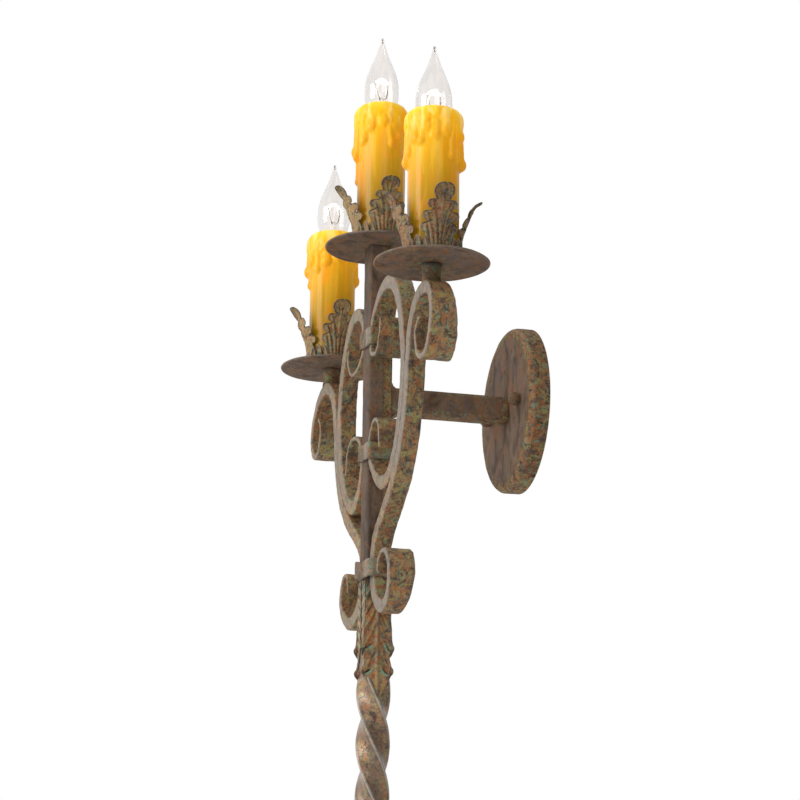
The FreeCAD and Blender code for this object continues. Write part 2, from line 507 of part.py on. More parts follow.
def light(name, x, z_pan, turn, lift):
    pan = ring(PAN_R, STEM_R + 0.1, PAN_T, V(x, YB, z_pan - PAN_T))
    save(name + "_pan", pan)
    save(name + "_leaf_cup", cup(x, z_pan))

    top = z_pan + CUP_BASE_T + SLEEVE_H          # top of the sleeve
    seat = z_pan + CUP_BASE_T
    st = top + lift                              # the socket's height follows its lamp
    stem_top = st - 54.0
    stem_bot = z_pan - PAN_T - 9.0
    save(name + "_stem", ring(STEM_R, STEM_BORE, stem_top - stem_bot, V(x, YB, stem_bot)))

    sock = cyl(SOCKET_R, 45.0, V(x, YB, st - 62.0))
    sock = sock.cut(cyl(STEM_R, 8.0, V(x, YB, st - 62.0)))
    sock = sock.cut(cyl(2.2, 9.0, V(x, YB, st - 55.0)))
    sock = sock.cut(cyl(SHELL_R + 0.02, 30.0, V(x, YB, st - 44.0)))
    sock = round_edges(sock, 0.8, lambda q: isinstance(q.Curve, Part.Circle) and abs(q.Curve.Radius - SOCKET_R) < 1e-6)
    save(name + "_socket", sock)
    save(name + "_socket_shell", ring(SHELL_R, SHELL_BORE, 25.0, V(x, YB, st - 44.0)))
    save(name + "_socket_contact", cyl(3.0, 1.0, V(x, YB, st - 44.0)).fuse(
        cyl(1.8, 6.95, V(x, YB, st - 43.0))))

    body = revolve_z([(SLEEVE_BORE, seat), (SLEEVE_R, seat), (SLEEVE_R, top - 7.5), (SLEEVE_R - 0.7, top - 4.2),
                      (SLEEVE_R - 2.1, top - 1.6), (SLEEVE_R - 3.8, top - 0.2), (SLEEVE_BORE + 0.6, top),
                      (SLEEVE_BORE, top - 0.8)], x, YB)
    for ang, r, run in DRIPS:
        a = math.radians(ang + turn)
        c = V(x + 20.4 * math.cos(a), YB + 20.4 * math.sin(a), 0)
        d = cyl(r, run - 6.5, V(c.x, c.y, top - run)).fuse(Part.makeSphere(r, V(c.x, c.y, top - run))).fuse(
            Part.makeSphere(r, V(c.x, c.y, top - 6.5)))
        body = body.fuse(d)
    body = body.cut(cyl(SLEEVE_BORE, SLEEVE_H + 10, V(x, YB, seat - 1)))
    body = body.cut(cyl(40, 20, V(x, YB, top)))
    save(name + "_candle_sleeve", max(body.Solids, key=lambda q: q.Volume))

    # flame-shaped lamp: its glass, screw base, and the mount with the filament
    g0 = top - 15.0 + lift
    prof = [(5.6, 0.0), (6.8, 2.0), (10.2, 6.0), (13.4, 10.5), (15.4, 16.0), (16.0, 22.0), (16.0, 27.0), (15.5, 34.0),
            (13.6, 42.0), (10.8, 50.0), (7.7, 57.5), (5.0, 65.0), (3.1, 71.5), (1.9, 76.0), (1.3, 79.0), (0.0, 80.0)]
    inner = [(0.0, 77.5), (0.9, 76.0), (2.3, 71.0), (4.2, 64.6), (6.9, 57.1), (10.0, 49.6), (12.8, 41.6), (14.7, 33.8),
             (15.2, 27.0), (15.2, 22.1), (14.6, 16.3), (12.7, 11.1), (9.5, 6.7), (6.0, 2.7), (4.8, 0.0)]
    save(name + "_bulb_glass", revolve_z([(r, g0 + q) for r, q in prof] + [(r, g0 + q) for r, q in inner], x, YB))
    base = revolve_z([(0.0, g0 - 21.0), (2.2, g0 - 21.0), (2.2, g0 - 19.8), (4.6, g0 - 18.2), (BASE_R, g0 - 17.0),
                      (BASE_R, g0 - 0.8), (6.4, g0), (0.0, g0)], x, YB)
    save(name + "_bulb_base", base)
    stem = revolve_z([(0.0, g0), (4.2, g0), (3.2, g0 + 5.0), (1.7, g0 + 12.0), (1.5, g0 + 22.0), (0.0, g0 + 22.0)], x, YB)
    fil = stem
    for s in (1, -1):
        a0, a1 = V(x, YB + s * 1.2, g0 + 20.0), V(x, YB + s * 7.0, g0 + 36.0)
        d = a1 - a0
        fil = fil.fuse(cyl(0.35, d.Length, a0, d))
    fil = fil.fuse(cyl(0.7, 14.6, V(x, YB - 7.3, g0 + 35.9), V(0, 1, 0)))
    save(name + "_bulb_filament", fil)
    return [hexagon(14.0, 4.0, V(x, YB, seat)).cut(cyl(STEM_R, 8, V(x, YB, seat - 2)))]


cup_nuts = []
cup_nuts += light("left", -SIDE_X, PAN_SIDE_Z, 35.0, LIFT[-1])
cup_nuts += light("center", 0.0, PAN_MID_Z, 0.0, LIFT[0])
cup_nuts += light("right", SIDE_X, PAN_SIDE_Z, 75.0, LIFT[1])
save("cup_nuts", Part.makeCompound(cup_nuts))

# =================================================================== leads
for side, name in ((0, "center_lead"), (1, "right_lead"), (-1, "left_lead")):
    p, r = lead_points(side)
    save(name, pipe(p, LEAD_R, r, name))
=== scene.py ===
import bpy
import bmesh
import math
import numpy as np
from mathutils import Matrix, Vector


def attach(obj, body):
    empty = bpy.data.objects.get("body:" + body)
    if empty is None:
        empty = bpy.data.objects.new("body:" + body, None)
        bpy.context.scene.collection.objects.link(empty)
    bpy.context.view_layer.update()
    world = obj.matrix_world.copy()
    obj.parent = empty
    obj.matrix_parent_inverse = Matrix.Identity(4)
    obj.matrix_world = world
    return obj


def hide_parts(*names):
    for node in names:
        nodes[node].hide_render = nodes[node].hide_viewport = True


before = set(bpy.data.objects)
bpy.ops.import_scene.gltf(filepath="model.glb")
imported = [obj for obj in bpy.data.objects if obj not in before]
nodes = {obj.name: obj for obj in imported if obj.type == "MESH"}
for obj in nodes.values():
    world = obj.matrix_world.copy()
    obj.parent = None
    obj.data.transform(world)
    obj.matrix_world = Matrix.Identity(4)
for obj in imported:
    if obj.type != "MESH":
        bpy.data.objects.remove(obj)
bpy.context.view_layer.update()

MM = 0.001
YB = -139.6
ROOT = "sconce"


# ------------------------------------------------------------------ helpers
def vnoise(P, seed=0):
    """Smooth lattice noise, -1 to 1, at points P (..., 3)."""
    P = np.asarray(P, float)
    i = np.floor(P).astype(np.int64)
    f = P - i
    f = f * f * (3 - 2 * f)
    out = 0.0
    for dx in (0, 1):
        for dy in (0, 1):
            for dz in (0, 1):
                h = (i[..., 0] + dx) * 374761393 + (i[..., 1] + dy) * 668265263 + (i[..., 2] + dz) * 2147483647 \
                    + seed * 974634777
                h = (h ^ (h >> 13)) * 1274126177
                h = (h ^ (h >> 16)) & 0xFFFF
                v = h / 32767.5 - 1.0
                w = (f[..., 0] if dx else 1 - f[..., 0]) * (f[..., 1] if dy else 1 - f[..., 1]) * \
                    (f[..., 2] if dz else 1 - f[..., 2])
                out = out + v * w
    return out


def fbm(P, seed=0, octaves=3):
    out, amp = 0.0, 1.0
    P = np.asarray(P, float)
    for k in range(octaves):
        out = out + amp * vnoise(P * (2.03 ** k), seed + 17 * k)
        amp *= 0.5
    return out


def smooth(x, a, b):
    t = np.clip((np.asarray(x, float) - a) / (b - a), 0, 1)
    return t * t * (3 - 2 * t)


def make(name, verts, faces, mat, node=None, slot=None, wear=None, sharp=38, recalc=True, body=ROOT, **fields):
    """Mesh piece in millimetres, riding on a body. Fields are values per vertex that the materials read."""
    me = bpy.data.meshes.new(name)
    me.from_pydata((np.asarray(verts, float) * MM).tolist(), [], [list(map(int, f)) for f in faces])
    if wear is not None:
        fields["wear"] = wear
    for key, val in fields.items():
        at = me.attributes.new(key, "FLOAT", "POINT")
        at.data.foreach_set("value", np.broadcast_to(np.asarray(val, np.float32), (len(verts),)).astype(np.float32))
    me.validate()
    if recalc:
        bm = bmesh.new()
        bm.from_mesh(me)
        bmesh.ops.recalc_face_normals(bm, faces=bm.faces)
        bm.to_mesh(me)
        bm.free()
    me.polygons.foreach_set("use_smooth", [True] * len(me.polygons))
    if sharp:
        me.set_sharp_from_angle(angle=math.radians(sharp))
    ob = bpy.data.objects.new(name, me)
    bpy.context.scene.collection.objects.link(ob)
    me.materials.append(mat)
    if node:
        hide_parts(*([node] if isinstance(node, str) else node))
    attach(ob, body)
    return ob


def rings(R, cap0=True, cap1=True):
    """R (n, m, 3): n closed rings of m points. Returns verts, faces."""
    n, m, _ = R.shape
    V = R.reshape(-1, 3)
    F = []
    for i in range(n - 1):
        a = i * m
        for j in range(m):
            k = (j + 1) % m
            F.append((a + j, a + k, a + m + k, a + m + j))
    V = list(V)
    if cap0:
        V.append(R[0].mean(axis=0))
        c = len(V) - 1
        F += [(c, (j + 1) % m, j) for j in range(m)]
    if cap1:
        V.append(R[-1].mean(axis=0))
        c = len(V) - 1
        b = (n - 1) * m
        F += [(c, b + j, b + (j + 1) % m) for j in range(m)]
    return np.array(V), F


def torus_grid(R):
    """R (n, m, 3): closed both ways."""
    n, m, _ = R.shape
    F = []
    for i in range(n):
        a, b = i * m, ((i + 1) % n) * m
        for j in range(m):
            k = (j + 1) % m
            F.append((a + j, a + k, b + k, b + j))
    return R.reshape(-1, 3), F


def lathe(profile, x, y, seg=72, closed=True):
    """Profile (r, z) turned about a vertical axis; closed joins its last point to its first.
    Points with r = 0 become one vertex."""
    V, F, idx = [], [], []
    th = np.linspace(0, 2 * np.pi, seg, endpoint=False)
    for r, z in profile:
        if r < 1e-6:
            V.append((x, y, z))
            idx.append([len(V) - 1])
        else:
            s = len(V)
            V += [(x + r * math.cos(t), y + r * math.sin(t), z) for t in th]
            idx.append(list(range(s, s + seg)))
    pairs = list(zip(idx[:-1], idx[1:]))
    if closed:
        pairs.append((idx[-1], idx[0]))
    for a, b in pairs:
        if len(a) == 1 and len(b) == 1:
            continue
        for j in range(seg):
            k = (j + 1) % seg
            if len(a) == 1:
                F.append((a[0], b[k], b[j]))
            elif len(b) == 1:
                F.append((a[j], a[k], b[0]))
            else:
                F.append((a[j], a[k], b[k], b[j]))
    return np.array(V), F


def cubic(x, y, q):
    """Natural cubic spline through (x, y), read at q. y may have columns."""
    x, y, q = np.asarray(x, float), np.asarray(y, float), np.asarray(q, float)
    one = y.ndim == 1
    if one:
        y = y[:, None]
    n = len(x)
    h = np.diff(x)
    A = np.zeros((n, n))
    B = np.zeros((n, y.shape[1]))
    A[0, 0] = A[-1, -1] = 1
    for i in range(1, n - 1):
        A[i, i - 1], A[i, i], A[i, i + 1] = h[i - 1], 2 * (h[i - 1] + h[i]), h[i]
        B[i] = 6 * ((y[i + 1] - y[i]) / h[i] - (y[i] - y[i - 1]) / h[i - 1])
    M = np.linalg.solve(A, B)
    k = np.clip(np.searchsorted(x, q) - 1, 0, n - 2)
    t = (q - x[k])[:, None]
    hk = h[k][:, None]
    r = y[k] + t * ((y[k + 1] - y[k]) / hk - hk * (2 * M[k] + M[k + 1]) / 6) + t ** 2 * M[k] / 2 \
        + t ** 3 * (M[k + 1] - M[k]) / (6 * hk)
    return r[:, 0] if one else r


# ---------------------------------------------------------------- materials
def new_mat(name):
    m = bpy.data.materials.new(name)
    m.use_nodes = True
    m.node_tree.nodes.clear()
    return m, m.node_tree.nodes, m.node_tree.links


class Net:
    def __init__(self, name):
        self.m, self.n, self.l = new_mat(name)
        self.out = self.n.new("ShaderNodeOutputMaterial")
        self.co = self.n.new("ShaderNodeTexCoord").outputs["Object"]

    def noise(self, scale, detail=4, rough=0.55, dist=0.0, vec=None, offset=(0, 0, 0), stretch=(1, 1, 1)):
        mp = self.n.new("ShaderNodeMapping")
        mp.inputs["Location"].default_value = offset
        mp.inputs["Scale"].default_value = stretch
        self.l.new(vec or self.co, mp.inputs["Vector"])
        t = self.n.new("ShaderNodeTexNoise")
        t.inputs["Scale"].default_value = scale
        t.inputs["Detail"].default_value = detail
        t.inputs["Roughness"].default_value = rough
        t.inputs["Distortion"].default_value = dist
        self.l.new(mp.outputs[0], t.inputs["Vector"])
        return t.outputs["Fac"]

    def voronoi(self, scale, feature="F1", vec=None, rand=1.0):
        t = self.n.new("ShaderNodeTexVoronoi")
        t.feature = feature
        t.inputs["Scale"].default_value = scale
        t.inputs["Randomness"].default_value = rand
        self.l.new(vec or self.co, t.inputs["Vector"])
        return t.outputs["Distance"]

    def ramp(self, fac, stops, interp="LINEAR"):
        r = self.n.new("ShaderNodeValToRGB")
        r.color_ramp.interpolation = interp
        el = r.color_ramp.elements
        while len(el) < len(stops):
            el.new(0.5)
        for e, (p, c) in zip(el, stops):
            e.position = p
            e.color = (*c, 1) if len(c) == 3 else c
        self.l.new(fac, r.inputs["Fac"])
        return r.outputs["Color"]

    def mask(self, fac, a, b):
        mr = self.n.new("ShaderNodeMapRange")
        mr.inputs["From Min"].default_value = a
        mr.inputs["From Max"].default_value = b
        mr.clamp = True
        mr.interpolation_type = "SMOOTHSTEP"
        self.l.new(fac, mr.inputs["Value"])
        return mr.outputs["Result"]

    def math(self, op, a, b=None, clamp=False):
        t = self.n.new("ShaderNodeMath")
        t.operation = op
        t.use_clamp = clamp
        for s, v in zip(t.inputs, (a, b)):
            if v is None:
                continue
            if isinstance(v, (int, float)):
                s.default_value = v
            else:
                self.l.new(v, s)
        return t.outputs[0]

    def mix(self, fac, a, b, mode="MIX"):
        t = self.n.new("ShaderNodeMix")
        t.data_type = "RGBA"
        t.blend_type = mode
        if isinstance(fac, (int, float)):
            t.inputs["Factor"].default_value = fac
        else:
            self.l.new(fac, t.inputs["Factor"])
        for s, v in (("A", a), ("B", b)):
            sock = [q for q in t.inputs if q.name == s and q.type == "RGBA"][0]
            if isinstance(v, tuple):
                sock.default_value = (*v, 1)
            else:
                self.l.new(v, sock)
        return [q for q in t.outputs if q.type == "RGBA"][0]

    def bump(self, height, strength, dist, normal=None):
        b = self.n.new("ShaderNodeBump")
        b.inputs["Strength"].default_value = strength
        b.inputs["Distance"].default_value = dist
        self.l.new(height, b.inputs["Height"])
        if normal is not None:
            self.l.new(normal, b.inputs["Normal"])
        return b.outputs["Normal"]

    def shader(self, color=None, rough=None, normal=None, **fixed):
        s = self.n.new("ShaderNodeBsdfPrincipled")
        for k, v in fixed.items():
            s.inputs[k.replace("_", " ")].default_value = v
        if color is not None:
            if isinstance(color, tuple):
                s.inputs["Base Color"].default_value = (*color, 1)
            else:
                self.l.new(color, s.inputs["Base Color"])
        if rough is not None:
            if isinstance(rough, (int, float)):
                s.inputs["Roughness"].default_value = rough
            else:
                self.l.new(rough, s.inputs["Roughness"])
        if normal is not None:
            self.l.new(normal, s.inputs["Normal"])
        self.l.new(s.outputs[0], self.out.inputs["Surface"])
        return s


def patina(name, dark, mid, warm, plain=(0.150, 0.104, 0.072), olive=0.6, teal=0.5, rust=0.6, veins=0.6, rough=0.6,
           metal=0.1, spec=0.25, tan=(0.250, 0.208, 0.172), scale=1.0):
    """Forged iron under a mottled finish. Point attributes: wear (rubbed pale; on the collars' front bends and the
    ball nuts' fronts also a painted highlight), plain (quiet smears instead of mottling; on the bar's +X side face
    also a painted shadow), soot (painted shade in hollows, creases and under parts, with grime), verdi
    (green in hollows)."""
    w = Net(name)

    def attr(nm):
        a = w.n.new("ShaderNodeAttribute")
        a.attribute_name = nm
        return a.outputs["Fac"]

    k = scale
    big = w.noise(112 * k, 4, 0.58, 0.9)
    fine = w.noise(330 * k, 5, 0.62, 0.6, offset=(3, 1, 7))
    base = w.ramp(w.mix(0.26, big, fine), [(0.39, dark), (0.46, mid), (0.53, warm), (0.60, mid), (0.68, dark)])
    gr = w.math("MULTIPLY", w.mask(w.noise(70 * k, 4, 0.58, 1.0, offset=(12, 7, 3)), 0.53, 0.61), 0.60)
    base = w.mix(gr, base, (0.092, 0.074, 0.070))
    ol = w.math("MULTIPLY", w.mask(w.noise(98 * k, 4, 0.60, 1.4, offset=(9, 4, 2)), 0.51, 0.59), olive)
    base = w.mix(ol, base, (0.325, 0.280, 0.100))
    ru = w.math("MULTIPLY", w.mask(w.noise(118 * k, 4, 0.60, 1.1, offset=(1, 8, 5)), 0.51, 0.59), rust)
    base = w.mix(ru, base, (0.43, 0.145, 0.042))
    te = w.math("MULTIPLY", w.mask(w.noise(135 * k, 4, 0.60, 1.3, offset=(6, 2, 11)), 0.555, 0.62), teal)
    base = w.mix(te, base, (0.200, 0.345, 0.225))
    # dark lines and blots where the finish broke
    vn = w.noise(62 * k, 3, 0.5, 2.6, offset=(2, 13, 4))
    line = w.mask(w.math("ABSOLUTE", w.math("SUBTRACT", vn, 0.5)), 0.026, 0.0)
    spot = w.mask(w.noise(160 * k, 3, 0.55, 0.8, offset=(8, 8, 1)), 0.585, 0.66)
    base = w.mix(w.math("MULTIPLY", w.math("MAXIMUM", line, spot), veins), base, (0.052, 0.038, 0.032))
    base = w.mix(w.math("MULTIPLY", w.mask(fine, 0.54, 0.64), 0.30), base, (0.060, 0.045, 0.036))
    # quiet smears, drawn out along the height
    p1 = w.noise(66, 4, 0.58, 0.9, offset=(4, 4, 9), stretch=(1, 1, 0.55))
    quiet = w.ramp(w.mix(0.22, p1, fine), [(0.38, tuple(v * 0.50 for v in plain)), (0.47, tuple(v * 0.92 for v in plain)),
                        (0.55, tuple(v * 1.30 for v in plain)), (0.66, tuple(v * 0.80 for v in plain))])
    warmth = w.math("MULTIPLY", w.mask(w.noise(58, 4, 0.60, 1.0, offset=(2, 6, 1), stretch=(1, 1, 0.6)), 0.50, 0.60), 0.55)
    quiet = w.mix(warmth, quiet, (0.270, 0.118, 0.050))
    cool = w.math("MULTIPLY", w.mask(w.noise(46, 4, 0.58, 1.0, offset=(7, 3, 3), stretch=(1, 1, 0.5)), 0.52, 0.62), 0.60)
    quiet = w.mix(cool, quiet, (0.125, 0.096, 0.092))
    quiet = w.mix(w.math("MULTIPLY", w.mask(fine, 0.55, 0.65), 0.40), quiet, (0.058, 0.042, 0.033))
    base = w.mix(attr("plain"), base, quiet)
    base = w.mix(w.math("MULTIPLY", attr("verdi"), w.mask(w.noise(260, 4, 0.6), 0.36, 0.56)), base, (0.160, 0.400, 0.300))
    # rubbed pale where worn; on the collars' front bends and the ball nuts' fronts this pale is partly a painted
    # highlight
    face = w.math("MULTIPLY", attr("wear"), w.mask(w.noise(140, 5, 0.62, 0.6, offset=(5, 5, 5)), 0.20, 0.56), clamp=True)
    tan2 = w.ramp(w.noise(210, 4, 0.6, 0.4, offset=(1, 2, 9)), [(0.38, tuple(v * 0.70 for v in tan)), (0.60, tan)])
    base = w.mix(face, base, tan2)
    # painted shade in hollows, creases and under parts, together with grime
    base = w.mix(w.math("MULTIPLY", attr("soot"), 0.92), base, (0.018, 0.014, 0.012))
    rg = w.math("ADD", w.math("MULTIPLY", fine, 0.34), rough - 0.17)
    n1 = w.bump(w.noise(75, 3, 0.5, 0.2), 0.20, 0.0014)
    n2 = w.bump(w.mix(0.4, fine, w.noise(900, 4, 0.6)), 0.40, 0.0005, n1)
    w.shader(base, rg, n2, Metallic=metal, Specular_IOR_Level=spec)
    return w.m


iron = patina("patina_iron", (0.065, 0.046, 0.035), (0.150, 0.100, 0.066), (0.250, 0.132, 0.066), olive=0.45, teal=0.45,
              rust=0.40, plain=(0.160, 0.104, 0.068))
scroll_iron = patina("patina_scroll", (0.080, 0.056, 0.040), (0.222, 0.150, 0.084), (0.360, 0.190, 0.085),
                     olive=0.85, teal=0.55, rust=0.56, veins=0.78)
leaf_iron = patina("patina_leaf", (0.080, 0.057, 0.048), (0.245, 0.160, 0.092), (0.385, 0.205, 0.090),
                   olive=0.65, teal=0.50, rust=0.60, veins=0.75, scale=1.2)
# a paler copy of the leaf finish for the left and centre cups: painted light
leaf_lit_copy = patina("patina_leaf_lit_copy", (0.120, 0.084, 0.055), (0.360, 0.245, 0.120), (0.500, 0.290, 0.120),
                   olive=0.75, teal=0.40, rust=0.50, veins=0.60, scale=1.2)
leaf_warm = patina("patina_leaf_warm", (0.120, 0.076, 0.048), (0.330, 0.200, 0.105), (0.480, 0.230, 0.090),
                   olive=0.55, teal=0.40, rust=0.75, veins=0.55)
plain_iron = patina("patina_plain", (0.066, 0.048, 0.035), (0.190, 0.124, 0.070), (0.330, 0.165, 0.070),
                    olive=0.75, teal=0.60, rust=0.60, veins=0.85, rough=0.70, spec=0.16, plain=(0.158, 0.106, 0.073))
shaft_iron = patina("patina_shaft", (0.075, 0.053, 0.038), (0.230, 0.160, 0.100), (0.390, 0.200, 0.090),
                    olive=0.80, teal=0.30, rust=0.60, veins=0.90, rough=0.32, spec=0.6, metal=0.25, plain=(0.185, 0.135, 0.098),
                    tan=(0.44, 0.39, 0.34))

w = Net("amber_wax")
at = w.n.new("ShaderNodeAttribute")
at.attribute_name = "wear"                       # on the candles: how thick the wax is
hz = w.n.new("ShaderNodeAttribute")
hz.attribute_name = "height"                     # 0 at the seat, 1 at the top
body_c = w.ramp(hz.outputs["Fac"], [(0.0, (0.27, 0.160, 0.006)), (0.25, (0.34, 0.192, 0.006)), (0.55, (0.64, 0.325, 0.008)),
                                    (0.80, (0.90, 0.430, 0.005)), (0.93, (0.95, 0.545, 0.010)), (1.0, (0.95, 0.700, 0.050))])
tone = w.noise(75, 4, 0.58, 0.8, stretch=(1, 1, 0.30))
body_c = w.mix(w.math("MULTIPLY", w.mask(tone, 0.46, 0.64), 0.50), body_c, w.mix(w.mask(hz.outputs["Fac"], 0.1, 0.6), (0.40, 0.150, 0.003), (0.90, 0.290, 0.003)))
# painted highlights: pale vertical streaks
light = w.noise(95, 4, 0.58, 0.6, offset=(3, 9, 2), stretch=(1, 1, 0.14))
body_c = w.mix(w.math("MULTIPLY", w.mask(light, 0.54, 0.68), 0.30), body_c, w.mix(w.mask(hz.outputs["Fac"], 0.1, 0.6), (0.52, 0.340, 0.030), (0.92, 0.620, 0.060)))
# painted highlights: whitish streaks near the top
cap_highlight = w.math("MULTIPLY", w.mask(hz.outputs["Fac"], 0.80, 0.98), w.mask(w.noise(120, 3, 0.5, 0.6, offset=(5, 2, 8), stretch=(1, 1, 0.2)), 0.52, 0.62))
body_c = w.mix(w.math("MULTIPLY", cap_highlight, 0.55), body_c, (1.0, 0.86, 0.28))
body_c = w.mix(w.math("MULTIPLY", at.outputs["Fac"], 0.60), body_c, (0.90, 0.330, 0.003))
# painted glow: the sleeves hold no lamp, yet give off light in their body colour, weakest at the seat and strongest at
# the top
painted_glow = w.mix(1.0, body_c, w.ramp(hz.outputs["Fac"], [(0.0, (0.10, 0.10, 0.10)), (0.45, (0.20, 0.20, 0.20)),
                                                   (0.8, (0.40, 0.40, 0.40)), (1.0, (0.60, 0.60, 0.60))]), "MULTIPLY")
nb = w.bump(w.noise(240, 4, 0.55, stretch=(1, 1, 0.25)), 0.30, 0.0008)
sh = w.shader(body_c, 0.30, nb, Specular_IOR_Level=0.22, Coat_Weight=0.05, Coat_Roughness=0.15)
w.l.new(painted_glow, sh.inputs["Emission Color"])
sh.inputs["Emission Strength"].default_value = 0.55
wax = w.m

w = Net("lamp_glass")
lw = w.n.new("ShaderNodeLayerWeight")
lw.inputs["Blend"].default_value = 0.40
# painted glow and shade: the glass is tinted palest where it faces the viewer and greyer towards its rim
glow_and_rim_shade = w.ramp(lw.outputs["Facing"], [(0.0, (0.950, 0.922, 0.900)), (0.35, (0.930, 0.905, 0.885)),
                                      (0.70, (0.875, 0.855, 0.838)), (1.0, (0.66, 0.65, 0.64))])
# painted reflections: grey vertical streaks
reflection_streak = w.math("MULTIPLY", w.mask(w.noise(110, 4, 0.6, 0.3, stretch=(1, 1, 0.05)), 0.46, 0.62), 0.5)
glow_and_rim_shade = w.mix(reflection_streak, glow_and_rim_shade, (0.80, 0.795, 0.79))
nb = w.bump(w.noise(60, 3, 0.5, stretch=(1, 1, 0.2)), 0.10, 0.0008)
w.shader(glow_and_rim_shade, 0.05, nb, Transmission_Weight=1.0, IOR=1.46, Specular_IOR_Level=0.5)
glass = w.m

w = Net("lamp_tip")
w.shader(w.ramp(w.noise(500, 3), [(0.35, (0.10, 0.10, 0.10)), (0.65, (0.24, 0.235, 0.23))]), 0.12, None,
         Specular_IOR_Level=0.5)
tip_m = w.m

w = Net("lamp_wire")
w.shader(w.ramp(w.noise(400, 3), [(0.3, (0.12, 0.075, 0.045)), (0.7, (0.30, 0.20, 0.12))]), 0.4, None, Metallic=0.5)
wire_m = w.m

w = Net("lamp_filament")
s = w.shader(w.ramp(w.noise(600, 2), [(0.3, (1.0, 0.72, 0.45)), (0.7, (1.0, 0.82, 0.6))]), 0.5)
s.inputs["Emission Color"].default_value = (1.0, 0.86, 0.72, 1)
s.inputs["Emission Strength"].default_value = 9.0
fil_m = w.m

w = Net("brass")
w.shader(w.ramp(w.noise(140, 4, 0.6), [(0.35, (0.50, 0.34, 0.13)), (0.65, (0.72, 0.52, 0.24))]),
         w.math("ADD", w.math("MULTIPLY", w.noise(300, 4), 0.25), 0.2), w.bump(w.noise(700, 3), 0.15, 0.0003), Metallic=1.0)
brass = w.m

w = Net("plated_steel")
w.shader(w.ramp(w.noise(120, 4, 0.6), [(0.35, (0.42, 0.41, 0.38)), (0.65, (0.62, 0.61, 0.57))]),
         w.math("ADD", w.math("MULTIPLY", w.noise(260, 4), 0.3), 0.22), w.bump(w.noise(500, 4), 0.2, 0.0003), Metallic=0.95)
steel = w.m

w = Net("black_phenolic")
w.shader(w.ramp(w.noise(200, 4, 0.6), [(0.35, (0.018, 0.016, 0.015)), (0.65, (0.04, 0.037, 0.035))]),
         w.math("ADD", w.math("MULTIPLY", w.noise(300, 3), 0.2), 0.35), w.bump(w.noise(900, 3), 0.2, 0.0002))
phenolic = w.m

w = Net("lead_sleeve")
w.shader(w.ramp(w.noise(500, 3), [(0.35, (0.05, 0.035, 0.028)), (0.65, (0.085, 0.06, 0.045))]), 0.6,
         w.bump(w.voronoi(1400), 0.35, 0.0003))
lead_m = w.m

w = Net("green_screw")
w.shader(w.ramp(w.noise(300, 3), [(0.35, (0.03, 0.20, 0.07)), (0.65, (0.06, 0.32, 0.12))]), 0.35,
         w.bump(w.noise(900, 3), 0.15, 0.0002), Metallic=0.6)
green = w.m

# ---------------------------------------------------------- carried-over nodes
LOOK = {"mounting_plate": steel, "ground_screw": green, "canopy_studs": steel, "arm_end_plug": iron, "arm_nipple": steel,
        "arm_lock_washer": steel, "arm_lock_nut": steel, "terminal_block": phenolic, "bar_top_plug": iron,
        "cup_nuts": steel}
for nm, ob in nodes.items():
    m = LOOK.get(nm)
    if m is None:
        if nm.endswith("_lead"):
            m = lead_m
        elif nm.endswith("_stem"):
            m = steel
        elif nm.endswith("_shell") or nm.endswith("_contact") or nm.endswith("_base"):
            m = brass
        elif nm.endswith("_socket"):
            m = phenolic
        else:
            m = iron
    ob.data.materials.clear()
    ob.data.materials.append(m)


# ------------------------------------------------------------------- scrolls
OUTER = [
    (183.0, 25.0, 3.0, 26.0), (174.5, 21.5, 3.2, 26.5), (169.5, 13.5, 3.6, 26.5), (170.5, 3.5, 4.2, 26.5),
    (177.0, -5.5, 4.8, 26.5), (187.5, -10.3, 5.4, 26.3), (199.5, -6.5, 6.2, 25.8), (207.5, 4.0, 6.9, 25.0),
    (210.0, 18.0, 7.6, 23.4), (206.0, 34.0, 8.4, 21.4), (195.5, 46.8, 9.6, 19.6), (180.0, 52.6, 11.4, 18.6),
    (163.5, 52.0, 11.8, 17.8), (148.0, 46.0, 11.8, 17.0), (136.5, 34.5, 12.2, 16.4), (129.5, 19.0, 12.7, 16.0),
    (125.0, 0.0, 12.7, 15.9), (121.5, -22.0, 12.7, 15.9), (115.5, -43.0, 12.7, 15.9), (107.0, -61.5, 12.7, 15.9),
    (96.0, -78.0, 12.7, 15.9), (82.0, -92.5, 12.7, 15.9), (66.0, -104.5, 12.7, 15.9), (50.0, -114.5, 12.7, 15.9),
    (35.0, -124.5, 12.7, 15.9), (23.5, -134.5, 12.7, 15.9), (18.0, -145.0, 12.7, 15.9), (17.55, -154.0, 12.7, 15.9),
    (17.6, -164.0, 12.7, 15.9), (20.5, -175.5, 12.7, 15.9), (28.0, -186.5, 12.6, 16.0), (40.0, -195.0, 12.4, 16.4),
    (55.0, -198.8, 12.0, 17.2), (70.5, -196.0, 10.8, 19.0), (82.5, -186.5, 9.2, 21.2), (87.5, -173.5, 7.4, 23.0),
    (83.5, -160.5, 5.6, 24.0), (73.0, -153.2, 4.2, 24.6), (61.0, -153.6, 3.5, 24.8), (53.0, -160.5, 3.2, 25.0),
    (53.0, -170.0, 3.0, 25.0),
]
